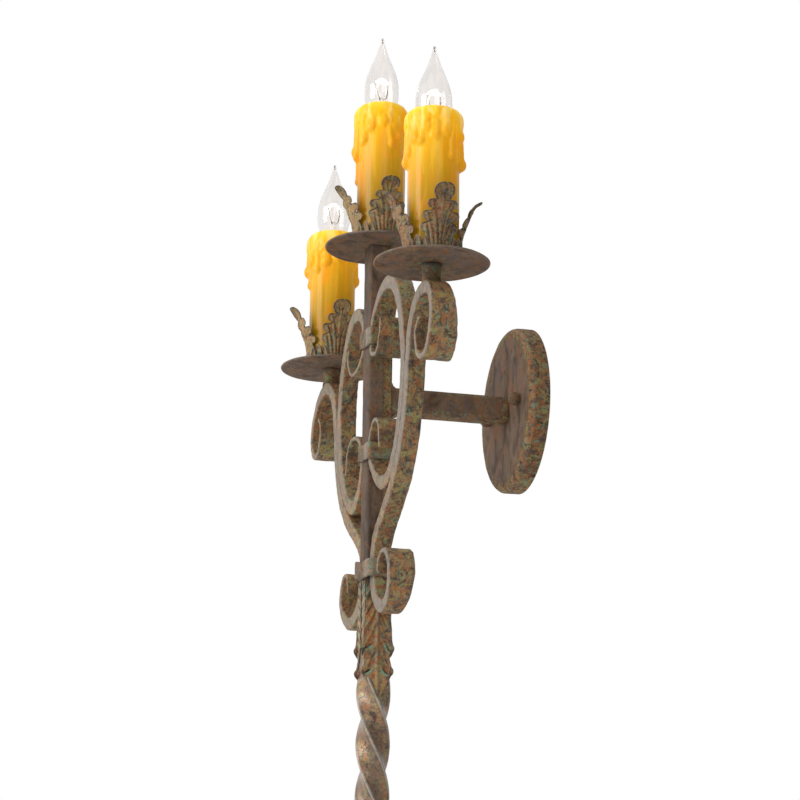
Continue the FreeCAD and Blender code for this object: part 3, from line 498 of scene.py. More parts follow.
INNER = [
    (57.5, 61.5, 3.0, 28.0), (57.0, 50.0, 3.0, 28.0), (52.5, 39.8, 3.2, 28.0), (43.0, 33.2, 3.4, 27.5),
    (32.0, 33.4, 3.8, 26.5), (22.6, 36.6, 4.2, 24.5), (16.3, 42.3, 4.6, 23.0), (14.2, 49.5, 5.0, 22.3),
    (14.05, 56.0, 5.3, 22.0), (14.3, 62.5, 5.6, 21.8), (17.2, 71.0, 6.4, 21.0), (24.8, 80.8, 8.0, 19.6),
    (36.0, 89.0, 10.4, 18.0), (51.0, 93.6, 12.7, 16.8),
    (67.0, 91.8, 12.9, 16.0), (81.0, 83.5, 12.8, 15.9), (92.0, 70.5, 12.7, 15.9), (101.0, 54.0, 12.7, 15.9),
    (107.5, 36.0, 12.7, 15.9), (111.1, 17.0, 12.7, 15.9), (111.65, -2.0, 12.7, 15.9), (108.1, -21.0, 12.7, 15.9),
    (102.5, -39.0, 12.7, 15.9), (95.5, -55.5, 12.7, 15.9), (86.0, -70.0, 12.8, 15.9), (74.0, -81.5, 13.0, 15.9),
    (60.0, -87.8, 13.2, 16.0), (45.0, -87.0, 12.4, 16.6), (31.5, -80.5, 10.4, 17.8), (21.2, -70.4, 8.0, 19.6),
    (15.3, -61.5, 6.1, 21.6), (14.1, -54.0, 5.5, 22.0), (14.15, -46.5, 5.2, 22.2), (17.6, -38.0, 4.6, 23.4),
    (26.3, -31.0, 4.0, 24.6), (37.5, -28.6, 3.6, 25.6), (48.0, -32.0, 3.4, 26.6), (55.0, -40.0, 3.2, 27.2),
    (58.5, -50.0, 3.0, 27.6), (59.5, -59.0, 3.0, 28.0),
]
# the left-hand outer scroll was drawn out a little narrower in its curls
OUTER_LEFT = [(x - (2.0 if z < -150 and x > 60 else 0.0), z + (2.6 if z < -180 and x > 25 else 1.2 if z < -150 and x > 45 else 0.0), t, w_ - (2.4 if (z > -12 and x > 165) or (z < -150 and x > 60) else 0.0))
              for x, z, t, w_ in OUTER]


def section(ht, hw, rc, nl=9, ns=3, na=5, groove=0.0):
    """Rounded rectangle: a across the strip's thickness, b across its width, and how far each point is on a narrow
    side. The rear narrow side may carry a groove."""
    pts, wear = [], []
    for qa, qb, a0 in ((1, 1, 0), (-1, 1, 90), (-1, -1, 180), (1, -1, 270)):
        ca, cb = qa * (ht - rc), qb * (hw - rc)
        for k in range(na):
            t = math.radians(a0 + 90.0 * k / (na - 1))
            pts.append((ca + rc * math.cos(t), cb + rc * math.sin(t)))
            wear.append(abs(math.sin(t)) ** 0.7)
        nxt = {0: (-1, 1), 90: (-1, -1), 180: (1, -1), 270: (1, 1)}[a0]
        ea, eb = nxt[0] * (ht - rc), nxt[1] * (hw - rc)
        if a0 == 0:
            lim = min(1.75, 0.8 * (ht - rc))
            for a_, d_ in ((1.0, 0.0), (0.98, 0.5), (0.8, 0.86), (0.4, 1.0), (0.0, 1.02), (-0.4, 1.0), (-0.8, 0.86),
                           (-0.98, 0.5), (-1.0, 0.0)):
                pts.append((lim * a_, hw - groove * d_))
                wear.append(1.0 if groove * d_ < 0.2 else 0.0)
        elif a0 == 180:
            for k in range(1, ns + 1):
                f = k / (ns + 1)
                pts.append((ca + (ea - ca) * f, -hw))
                wear.append(1.0)
        else:
            sa, sb = qa * ht, cb
            ta, tb = nxt[0] * ht, eb
            for k in range(1, nl + 1):
                f = k / (nl + 1)
                pts.append((sa + (ta - sa) * f, sb + (tb - sb) * f))
                wear.append(0.0)
    return np.array(pts), np.array(wear)


def scroll(name, rows, side, node, seed, n=520, grooved=False):
    rows = np.array(rows)
    ch = np.concatenate([[0], np.cumsum(np.hypot(*np.diff(rows[:, :2], axis=0).T))])
    dense = np.linspace(0, ch[-1], 6000)
    P = cubic(ch, rows[:, :2], dense)
    L = np.concatenate([[0], np.cumsum(np.hypot(*np.diff(P, axis=0).T))])
    s = np.linspace(0, L[-1], n)
    tip = np.array([0.0, 0.15, 0.4, 0.8, 1.3, 1.9])
    s = np.unique(np.concatenate([tip, s[s > 2.2], L[-1] - tip]))
    s = s[(s <= 2.2) | (s >= 2.4)]
    s = s[(s >= L[-1] - 1.95) | (s <= L[-1] - 2.2)]
    X = np.interp(s, L, P[:, 0])
    Z = np.interp(s, L, P[:, 1])
    u = np.interp(s, L, dense)
    TX, TZ = np.interp(s, L, np.gradient(P[:, 0], L)), np.interp(s, L, np.gradient(P[:, 1], L))
    nn = np.hypot(TX, TZ)
    TX, TZ = TX / nn, TZ / nn
    T = np.interp(u, ch, rows[:, 2])
    W = np.interp(u, ch, rows[:, 3])
    # forged: width and thickness wander a little along the bar, more where it is drawn out flat
    flat = smooth(W, 18.0, 24.0)
    k = np.stack([s / 13.0, np.zeros_like(s), np.full_like(s, seed)], -1)
    W = W + (0.35 + 0.55 * flat) * fbm(k, seed)
    T = T + 0.16 * fbm(k * 1.3 + 5, seed + 3)
    # the rear groove that holds the side light's lead
    first, last = 13, int(np.argmin(np.abs(rows[:, 0] - 23.5) + np.abs(rows[:, 1] + 134.5)))
    g_on = np.array([1.0 if grooved and first <= i <= last else 0.0 for i in range(len(rows))])
    G = np.interp(u, ch, g_on)
    R, WR, SO = [], [], []
    for i in range(len(s)):
        e = min(s[i], L[-1] - s[i])
        hw, ht = W[i] / 2, T[i] / 2
        if e < 2.0:
            q = math.sqrt(max(0.0, 1 - (1 - e / 2.0) ** 2))
            hw = hw - 1.6 * (1 - q)
            ht = ht * (0.30 + 0.70 * q)
        rc = min(1.4, ht * 0.60)
        sec, wr = section(ht, hw, rc, groove=3.0 * smooth(G[i], 0.45, 0.95))
        a, b = sec[:, 0], sec[:, 1]
        # hammer marks over the broad faces
        pos = np.stack([np.full_like(a, s[i] / 8.0), b / 7.0, np.sign(a) * 3.0 + seed], -1)
        a = a + np.sign(a) * 0.26 * fbm(pos, seed + 9, 2) * (1 - wr) * min(1.0, e / 4)
        flatb = 1.0 + 0.8 * flat[i]
        b = b + np.sign(b) * 0.18 * flatb * vnoise(np.stack([np.full_like(a, s[i] / 4.0), a / 6.0, np.sign(b) * 2.0], -1),
                                                   seed + 5) * wr
        R.append(np.stack([side * (X[i] - TZ[i] * a), YB + b, Z[i] + TX[i] * a], -1))
        # rubbed less where the bar runs down past the lower curve
        run = 1.0 - 0.62 * float(smooth(Z[i], -62.0, -96.0)) * float(smooth(Z[i], -150.0, -128.0)) if X[i] < 118 else 1.0
        WR.append(wr * run * (1.0 if side > 0 else 0.62))
        SO.append(0.30 * (1 - wr) * flat[i] * float(smooth(vnoise(np.array([[s[i] / 6.0, seed, 1.0]]), seed + 2)[0], 0.1, 0.7)))
    R = np.array(R)
    V, F = rings(R)
    wr = np.concatenate([np.array(WR).ravel(), [1, 1]])
    so = np.concatenate([np.array(SO).ravel() if np.ndim(SO) > 1 else np.repeat(SO, R.shape[1]), [0, 0]])
    vd = 0.22 * wr * smooth(vnoise(V / 14.0, seed + 6), -0.2, 0.5) if side < 0 else 0.0
    return make(name, V, F, scroll_iron, node, "iron_light", wear=wr, sharp=50, soot=so, verdi=vd)


scroll("right_outer_scroll_forged", OUTER, 1, "right_outer_scroll", 1, grooved=True)
scroll("left_outer_scroll_forged", OUTER_LEFT, -1, "left_outer_scroll", 2, grooved=True)
scroll("right_inner_scroll_forged", INNER, 1, "right_inner_scroll", 3)
scroll("left_inner_scroll_forged", INNER, -1, "left_inner_scroll", 4)


# ------------------------------------------------------- square bar and shaft
def square_section(half, rc, n=9, na=5):
    pts, wear = [], []
    for q in range(4):
        c = math.radians(45 + 90 * q)
        cx, cy = (half - rc) * math.sqrt(2) * math.cos(c), (half - rc) * math.sqrt(2) * math.sin(c)
        for k in range(na):
            t = math.radians(90 * q + 90.0 * k / (na - 1))
            pts.append((cx + rc * math.cos(t), cy + rc * math.sin(t)))
            wear.append(1.0)
        c2 = math.radians(45 + 90 * (q + 1))
        nx, ny = (half - rc) * math.sqrt(2) * math.cos(c2), (half - rc) * math.sqrt(2) * math.sin(c2)
        t = math.radians(90 * (q + 1))
        ox, oy = rc * math.cos(t), rc * math.sin(t)
        for k in range(1, n + 1):
            f = k / (n + 1)
            pts.append((cx + ox + (nx - cx) * f, cy + oy + (ny - cy) * f))
            wear.append(0.0)
    return np.array(pts), np.array(wear)


def square_tube(name, node, u, half, inner, rc, place, plain_of, seed, wear_k, soot_of):
    """A square tube along u; place(a, b, u) gives the point, plain_of(P) how quiet the finish is there."""
    sec, wr = square_section(half, rc, 13)
    sin_, _ = square_section(inner, 0.8, 13)
    R, WR = [], []
    for i, v in enumerate(u):
        k = 0.14 * fbm(np.stack([sec[:, 0] / 9, sec[:, 1] / 9, np.full(len(sec), v / 12.0)], -1), seed)
        if i in (0, len(u) - 1):
            k = k * 0 - 0.5
        nrm = sec / np.maximum(np.hypot(sec[:, 0], sec[:, 1]), 1e-6)[:, None]
        p = sec + nrm * k[:, None]
        R.append(place(p[:, 0], p[:, 1], np.full(len(sec), v)))
        WR.append(wr * wear_k)
    for v in (u[-1], u[0]):
        R.append(place(sin_[:, 0], sin_[:, 1], np.full(len(sec), v)))
        WR.append(wr * 0)
    R = np.array(R)
    V, F = torus_grid(R)
    return make(name, V, F, plain_iron, node, "iron", wear=np.array(WR).ravel(), sharp=45, plain=plain_of(V),
                soot=soot_of(V))


def bar_painted_shadow(V):
    # painted shadow: the quiet dark finish covers the front face and the front part of the +X side face, up to a wavy
    # edge; the rear part stays mottled and lit
    wav = 1.6 * vnoise(np.stack([V[:, 2] / 22, V[:, 2] * 0, V[:, 2] * 0 + 3], -1), 6)
    q = 1 - 0.95 * smooth(V[:, 1] - YB + wav, 1.2, 4.2)
    q = np.where(V[:, 0] < -9.5, 0.45, q)
    # painted light: lit patches in the painted shadow, around z 30 and z -74
    lit_patch = np.exp(-((V[:, 2] - 30) / 9.0) ** 2) + np.exp(-((V[:, 2] + 74) / 8.0) ** 2)
    return np.clip(q - 0.5 * lit_patch, 0, 1)


zb = np.concatenate([[-210.0, -209.4], np.arange(-207.0, 142.5, 3.0), [143.5, 144.1]])
# on the bar the front face is darker, and a painted shadow edge runs down the +X side face
square_tube("center_bar_forged", "bar_tube", zb, 11.1, 9.1, 1.7, lambda a, b, u: np.stack([a, YB + b, u], -1), bar_painted_shadow, 31, 0.16,
            lambda V: 0.50 * smooth(V[:, 1] - YB, -9.8, -11.0) + 0.30 * np.exp(-((V[:, 1] - YB - 3.0) / 1.1) ** 2) * (V[:, 0] > 9))
ya = np.concatenate([[YB + 11.1, YB + 11.5], np.arange(YB + 13.5, -20.0, 3.0), [-18.6, -18.0]])
square_tube("arm_forged", "arm_tube", ya, 11.1, 9.5, 2.2, lambda a, b, u: np.stack([a, u, -1.0 + b], -1),
            lambda V: np.clip(0.86 - 0.75 * smooth(V[:, 2], -7.5, -11.0) - 0.5 * smooth(V[:, 2], 7.0, 9.0)
                              - 0.5 * smooth(V[:, 1], -30, -20), 0, 1), 33, 0.22,
            lambda V: 0.12 + 0.25 * smooth(V[:, 1], -26, -19) * smooth(vnoise(V / 4.0, 8), -0.2, 0.4))

TWIST_TOP, TWIST_BOT, SHAFT_END, TURN = -251.0, -525.5, -561.0, 183.0
R, WR, PL, SO = [], [], [], []
zs = [-190.0, -209.99, -210.0] + list(np.arange(-212.0, -525.5, -1.6)) + list(np.linspace(-525.5, -559.0, 26)) + \
    [-559.6, -560.2, -560.7, -561.0]
for z in zs:
    half = 9.05 if z > -209.995 else 11.1
    rc = 0.8 if half < 10 else 1.25
    ang = 0.0
    if z < TWIST_TOP:
        ang = 360.0 * (TWIST_TOP - max(z, TWIST_BOT)) / TURN
    if z < TWIST_BOT:
        f = (TWIST_BOT - z) / (TWIST_BOT - SHAFT_END)
        half = float(np.interp(f, [0, 0.14, 0.6, 0.94, 0.975, 0.99, 1.0], [11.1, 10.6, 6.7, 3.5, 3.1, 2.5, 1.6]))
        rc = min(1.7, half * 0.35)
    sec, wr = square_section(half, rc, 11)
    if TWIST_TOP - 8 > z > TWIST_BOT + 4:
        # twisting pulls the flats in a little
        d = np.abs(np.abs(sec[:, 0]) - np.abs(sec[:, 1])) / half
        pull = 1 - 0.035 * np.clip(d, 0, 1) ** 1.5
        sec = sec * pull[:, None]
    # painted shade: a dark seam just inside each rubbed corner
    d = np.minimum(np.abs(np.abs(sec[:, 0]) - (half - 3.0)), np.abs(np.abs(sec[:, 1]) - (half - 3.0)))
    so = 0.34 * np.exp(-(d / 0.9) ** 2) * (1 - wr)
    r_ = math.radians(ang)
    x = sec[:, 0] * math.cos(r_) - sec[:, 1] * math.sin(r_)
    y = sec[:, 0] * math.sin(r_) + sec[:, 1] * math.cos(r_)
    if z < -212:
        k = 1 + 0.012 * vnoise(np.stack([x / 7, y / 7, np.full_like(x, z / 11.0)], -1), 4)
        x, y = x * k, y * k
    R.append(np.stack([x, YB + y, np.full_like(x, z)], -1))
    WR.append(wr * (0.8 if z < TWIST_TOP - 4 else 0.0))
    SO.append(so * (1.0 if TWIST_TOP - 6 > z > TWIST_BOT else 0.0) + (0.42 * (sec[:, 1] < -half + 1.5) if z > TWIST_TOP - 4 else 0.0))
    PL.append(0.55 * smooth(vnoise(np.stack([x / 16, y / 16, np.full_like(x, z / 20.0)], -1), 12), -0.25, 0.35))
V, F = rings(np.array(R))
make("shaft_twisted_forged", V, F, shaft_iron, "twisted_shaft", "iron_light", sharp=60,
     wear=np.concatenate([np.array(WR).ravel(), [0, 1]]), plain=np.concatenate([np.array(PL).ravel(), [0, 0]]),
     soot=np.concatenate([np.array(SO).ravel(), [0, 0]]))


# ------------------------------------------------------------- canopy, turned
def turn(profile, cx, cy, cz, seg, axis="z", closed=True):
    """Profile (r, h) turned about an axis through (cx, cy, cz); h is measured along the axis."""
    V, F = lathe([(r, h) for r, h in profile], 0.0, 0.0, seg, closed)
    if axis == "y":
        V = np.stack([V[:, 0], V[:, 2], -V[:, 1]], -1)
    return V + np.array([cx, cy, cz]), F


def jitter(V, amp, scale, seed, centre):
    d = V - np.array(centre)
    l = np.maximum(np.linalg.norm(d, axis=1), 1e-6)[:, None]
    return V + d / l * (amp * fbm(V / scale, seed))[:, None]


prof = [(76.0, 0.0), (76.0, -3.0), (76.1, -6.0), (76.0, -9.0), (76.0, -12.0)]
prof += [(70 + 6 * math.cos(math.radians(a)), -12 - 6 * math.sin(math.radians(a))) for a in range(10, 90, 10)]
prof += [(r, -18.0) for r in (70, 66, 61, 55, 49, 43, 37, 31, 25, 19, 13, 8, 5.0)]
prof += [(5.0, -16.8), (20, -16.8), (45, -16.8), (70, -16.8)]
prof += [(70 + 4.8 * math.cos(math.radians(a)), -12 - 4.8 * math.sin(math.radians(a))) for a in (70, 45, 20)]
prof += [(74.8, -12.0), (74.8, -6.0), (74.8, 0.0)]
V, F = turn(prof, 0, 0, 0, 180, "y")
rad = np.hypot(V[:, 0], V[:, 2])
outer = (V[:, 1] < -17.0) | (rad > 75.2)
rim = smooth(rad, 66, 75)
dent = fbm(V / 16.0, 5)
V = V + np.where((outer & (V[:, 1] < -0.5))[:, None], np.stack([V[:, 0] / np.maximum(rad, 1) * 0.38 * dent * rim,
                                                               -0.30 * dent * (1 - rim) * smooth(rad, 8, 20),
                                                               V[:, 2] / np.maximum(rad, 1) * 0.38 * dent * rim], -1), 0)
# painted shade with grime: a blotched dark ring in the crease where the face meets the rim; the rim is also darker
# towards the wall on the +X side
make("canopy_hammered", V, F, plain_iron, "canopy", "iron", sharp=50,
     plain=np.where(V[:, 1] < -17.3, 1.0 - 0.95 * smooth(rad, 64, 69), 0.0), wear=0.20 * (np.abs(V[:, 1] + 15.5) < 1.6) * (rad > 73),
     soot=0.42 * np.exp(-((rad - 68.0) / 2.2) ** 2) * (V[:, 1] < -17.0) * smooth(vnoise(V / 12.0, 3), -0.7, 0.2) +
     0.22 * (V[:, 1] > -14) * smooth(V[:, 0], 0, 40))

# ball-headed nuts on the canopy's studs
Vs, Fs, off = [], [], 0
for sx in (1, -1):
    pr = [(0.0, -28.9)] + [(6.0 * math.sin(math.radians(a)), -22.9 - 6.0 * math.cos(math.radians(a))) for a in range(12, 138, 9)]
    pr += [(4.5, -18.6), (4.7, -18.05), (0.0, -18.05)]
    V, F = turn(pr, sx * 42.0, 0, 0, 40, "y", closed=False)
    V = jitter(V, 0.16, 4.0, 41 + sx, (sx * 42.0, -22.9, 0))
    Vs.append(V)
    Fs += [tuple(i + off for i in f) for f in F]
    off += len(V)
V = np.concatenate(Vs)
# painted highlight, partly rubbed wear: the front of each ball is paler
make("ball_nuts_forged", V, Fs, plain_iron, "canopy_cap_nuts", "iron_light", sharp=50, plain=np.full(len(V), 0.6),
     wear=0.15 * smooth(V[:, 1], -26.0, -28.5), soot=np.full(len(V), 0.28))

# pans
for prefix, x, zp, seed in (("left", -174.5, 76.8, 51), ("center", 0.0, 146.1, 52), ("right", 174.5, 76.8, 53)):
    lo, hi = -2.0, 0.0
    pr = [(r, lo) for r in (4.95, 9, 14, 19, 24, 29, 34, 38, 42, 45.5, 48.3)]
    pr += [(49.0, lo + 0.15), (49.6, lo + 0.5), (49.9, lo + 1.0), (49.6, lo + 1.55), (49.0, hi - 0.1)]
    pr += [(r, hi) for r in (48.3, 45.5, 42, 38, 34, 29, 24, 19, 14, 9, 4.95)]
    V, F = turn(pr, x, YB, zp, 150)
    r_ = np.hypot(V[:, 0] - x, V[:, 1] - YB)
    low = fbm(V * np.array([1, 1, 0]) / 26.0, seed)
    V = V + np.stack([low * 0, low * 0, 0.28 * low * smooth(r_, 26, 46)], -1)
    edge = smooth(r_, 48.2, 49.3)
    cre = (V[:, 0] - x) / np.maximum(r_, 1) * 0.25 * low * edge
    V[:, 0] += cre
    # painted shade: a dark ring round the post on the underside of each side pan
    make(prefix + "_pan_hammered", V, F, plain_iron, prefix + "_pan", "iron", sharp=0,
         plain=np.clip(0.97 - 0.5 * np.exp(-(r_ / 14.0) ** 2) - 0.35 * smooth(low, 0.2, 0.8), 0, 1), wear=0.55 * edge,
         soot=0.38 * np.exp(-((r_ - 11) / 3.0) ** 2) * (V[:, 2] < zp - 1.5) * (0 if prefix == "center" else 1))

# posts under the side pans, drawn down on to the curls
for nm, x in (("right", 174.5), ("left", -174.5)):
    pr = [(4.85, 74.75), (8.6, 74.75), (9.0, 74.2), (8.9, 72.5), (8.35, 69.0), (8.1, 65.5), (8.2, 62.0), (8.7, 59.5), (9.0, 57.6),
          (8.6, 56.0), (4.85, 55.6)]
    f = [0, 1, 2, 3, 4, 5, 6, 7, 8, 9]
    prd = []
    for a, b in zip(pr[:-1], pr[1:]):
        for t in np.linspace(0, 1, 4, endpoint=False):
            prd.append((a[0] + (b[0] - a[0]) * t, a[1] + (b[1] - a[1]) * t))
    prd.append(pr[-1])
    V, F = turn(prd, x, YB, 0, 64)
    V = jitter(V, 0.16, 6.0, 61, (x, YB, 66))
    # painted shade: darker towards the top, under the pan; also darker on the side away from the centre
    make(nm + "_post_forged", V, F, scroll_iron, nm + "_post", "iron", sharp=50, wear=np.zeros(len(V)),
         soot=np.clip(0.35 + 0.3 * smooth(V[:, 2], 70, 74.5) + 0.25 * smooth(V[:, 0] * np.sign(x), 176, 181), 0, 1),
         verdi=0.5 * smooth(vnoise(V / 5.0, 4), 0.1, 0.6))


# collars: flat strap bent round bar and scrolls, with soft corners
def rounded_rect(hx, hy, rc, na=9, ns=12):
    pts = []
    for qx, qy, a0 in ((1, 1, 0), (-1, 1, 90), (-1, -1, 180), (1, -1, 270)):
        cx, cy = qx * (hx - rc), qy * (hy - rc)
        for k in range(na):
            t = math.radians(a0 + 90.0 * k / (na - 1))
            pts.append((cx + rc * math.cos(t), cy + rc * math.sin(t)))
        nx, ny = {0: (-1, 1), 90: (-1, -1), 180: (1, -1), 270: (1, 1)}[a0]
        ex, ey = nx * (hx - rc), ny * (hy - rc)
        t = math.radians(a0 + 90)
        ox, oy = rc * math.cos(t), rc * math.sin(t)
        for k in range(1, ns + 1):
            f = k / (ns + 1)
            pts.append((cx + ox + (ex - cx) * f, cy + oy + (ey - cy) * f))
    return np.array(pts)


def collar(name, node, xi, yi, z0, z1, rc, seed, tilt):
    T = 2.8
    o, i_ = rounded_rect(xi + T, yi + T, rc), rounded_rect(xi, yi, 1.2)
    # the corner at the left front was bent softer
    cor = np.exp(-(((o[:, 0] + xi + T) / 6.5) ** 2 + ((o[:, 1] + yi + T) / 5.0) ** 2))
    o = o + np.stack([cor * 1.3, cor * 1.3], -1)
    lv = [(0.0, z0 + 0.9), (0.0, z0 + 3.0)] + [(0.0, z) for z in np.linspace(z0 + 3.0, z1 - 3.0, 7)[1:]] + \
         [(0.0, z1 - 0.9), (0.12, z1 - 0.35), (0.35, z1)]
    R = []
    for f, z in [(0.35, z0), (0.12, z0 + 0.35)] + lv + [(0.85, z1), (1.0, z1 - 0.5), (1.0, (z0 + z1) / 2), (1.0, z0 + 0.5), (0.85, z0)]:
        p = o * (1 - f) + i_ * f
        k = 0.22 * fbm(np.stack([p[:, 0] / 7, p[:, 1] / 7, np.full(len(p), z / 7.0)], -1), seed) * (1 - f)
        n_ = p / np.hypot(p[:, 0], p[:, 1])[:, None]
        p = p + n_ * k[:, None]
        # bent round by hand: the strap rises a little towards the left, and its edges wander
        zz_ = z + tilt * smooth(-p[:, 0], -6.0, xi) * smooth(-p[:, 1], -4.0, yi) + \
            0.35 * vnoise(np.stack([p[:, 0] / 6, p[:, 1] / 6, p[:, 0] * 0 + (3 if z > (z0 + z1) / 2 else 0)], -1), seed + 1)
        R.append(np.stack([p[:, 0], YB + p[:, 1], zz_], -1))
    V, F = torus_grid(np.array(R))
    x, y = V[:, 0], V[:, 1] - YB
    front = smooth(-y, yi - 1.5, yi + 0.8)
    # painted highlight, partly rubbed wear: pale on the front face by the rounded front-right bend; the front face is
    # darker towards its left
    front_bend_highlight = 0.95 * smooth(x, xi - 9.5, xi - 4.5) * (1 - smooth(x, xi + 0.4, xi + 2.0)) * front
    edge = 0.4 * (np.abs(V[:, 2] - z0) < 1.0) * (x > xi - 9)
    make(name, V, F, scroll_iron, node, "iron_light", sharp=50, wear=np.clip(front_bend_highlight + edge * (y < yi), 0, 1),
         plain=0.25 * (x > xi - 2.0), soot=np.clip(0.50 * front * (1 - smooth(x, xi - 11, xi - 5)), 0, 1),
         verdi=0.35 * (x > xi) * smooth(vnoise(V / 7.0, seed), -0.2, 0.4))


collar("upper_collar_bent", "upper_collar", 17.15, 11.4, 47.0, 63.5, 4.6, 71, 3.0)
collar("middle_collar_bent", "middle_collar", 17.25, 11.4, -59.0, -44.0, 4.6, 72, 3.5)
collar("lower_collar_bent", "lower_collar", 24.05, 11.2, -167.0, -151.0, 5.4, 73, 5.0)


# fillets of the arm's weld, above and below
def fillet(name, up, r, ry, seed):
    R = []
    z0 = -1.0 + up * 11.1
    for x in np.linspace(-10.6, 10.6, 40):
        rr_ = r * (1 + 0.10 * float(fbm(np.array([[x / 4.0, up, 0.0]]), seed)[0])) * (1 - 0.35 * abs(x / 10.6) ** 6)
        sec = [(-0.6, -0.8), (-0.6, rr_)]
        for a in np.linspace(0, 90, 10)[1:-1]:
            sec.append((ry - ry * math.cos(math.radians(a)), rr_ - rr_ * math.sin(math.radians(a))))
        sec += [(ry, -0.8)]
        R.append([(x, YB + 11.1 + a, z0 + up * b) for a, b in sec])
    V, F = rings(np.array(R))
    return make(name, V, F, plain_iron, None, "iron", sharp=60, plain=np.full(len(V), 0.55), wear=np.full(len(V), 0.10))


fillet("arm_weld_upper", 1, 6.6, 3.6, 3)
fillet("arm_weld_lower", -1, 8.5, 12.0, 5)


# ------------------------------------------------------------------ leaf cups
def leaf_outline(s, lobes, base):
    """Half-width at arc length s: the largest reach of the lobes and of the leaf's body."""
    b = base(s)
    for cs, cv, r in lobes:
        d = np.abs(s - cs)
        reach = np.where(d < r, cv + np.sqrt(np.maximum(r * r - d * d, 0)), 0)
        b = np.maximum(b, reach)
    return b


def sheet_faces(n, m, hole=None):
    F = []
    for i in range(n - 1):
        for j in range(m - 1):
            if hole is not None and hole[i, j]:
                continue
            F.append((i * m + j, i * m + j + 1, (i + 1) * m + j + 1, (i + 1) * m + j))
    return F


CUP_PROFILE = [(0, 23.3), (8, 23.5), (15, 24.2), (21, 25.4), (28, 27.5), (36, 30.6), (43, 33.6), (49, 36.8),
               (53, 39.9), (55.3, 42.6), (56.0, 44.6)]
zz, rr = np.array(CUP_PROFILE).T
arc = np.concatenate([[0], np.cumsum(np.hypot(np.diff(zz), np.diff(rr)))])
S_LEAF = arc[-1]
LOBES = [(S_LEAF - 8.7, 0.0, 8.7), (S_LEAF - 20.0, 9.2, 3.7), (S_LEAF - 29.6, 12.6, 3.9), (S_LEAF - 39.4, 12.8, 4.3)]


def cup_base(s):
    return np.interp(s, [0, 8, 16, 24, 34, 44, S_LEAF - 16, S_LEAF - 11, S_LEAF],
                     [12.0, 14.4, 12.6, 11.6, 9.4, 6.8, 5.0, 1.0, 0.3])


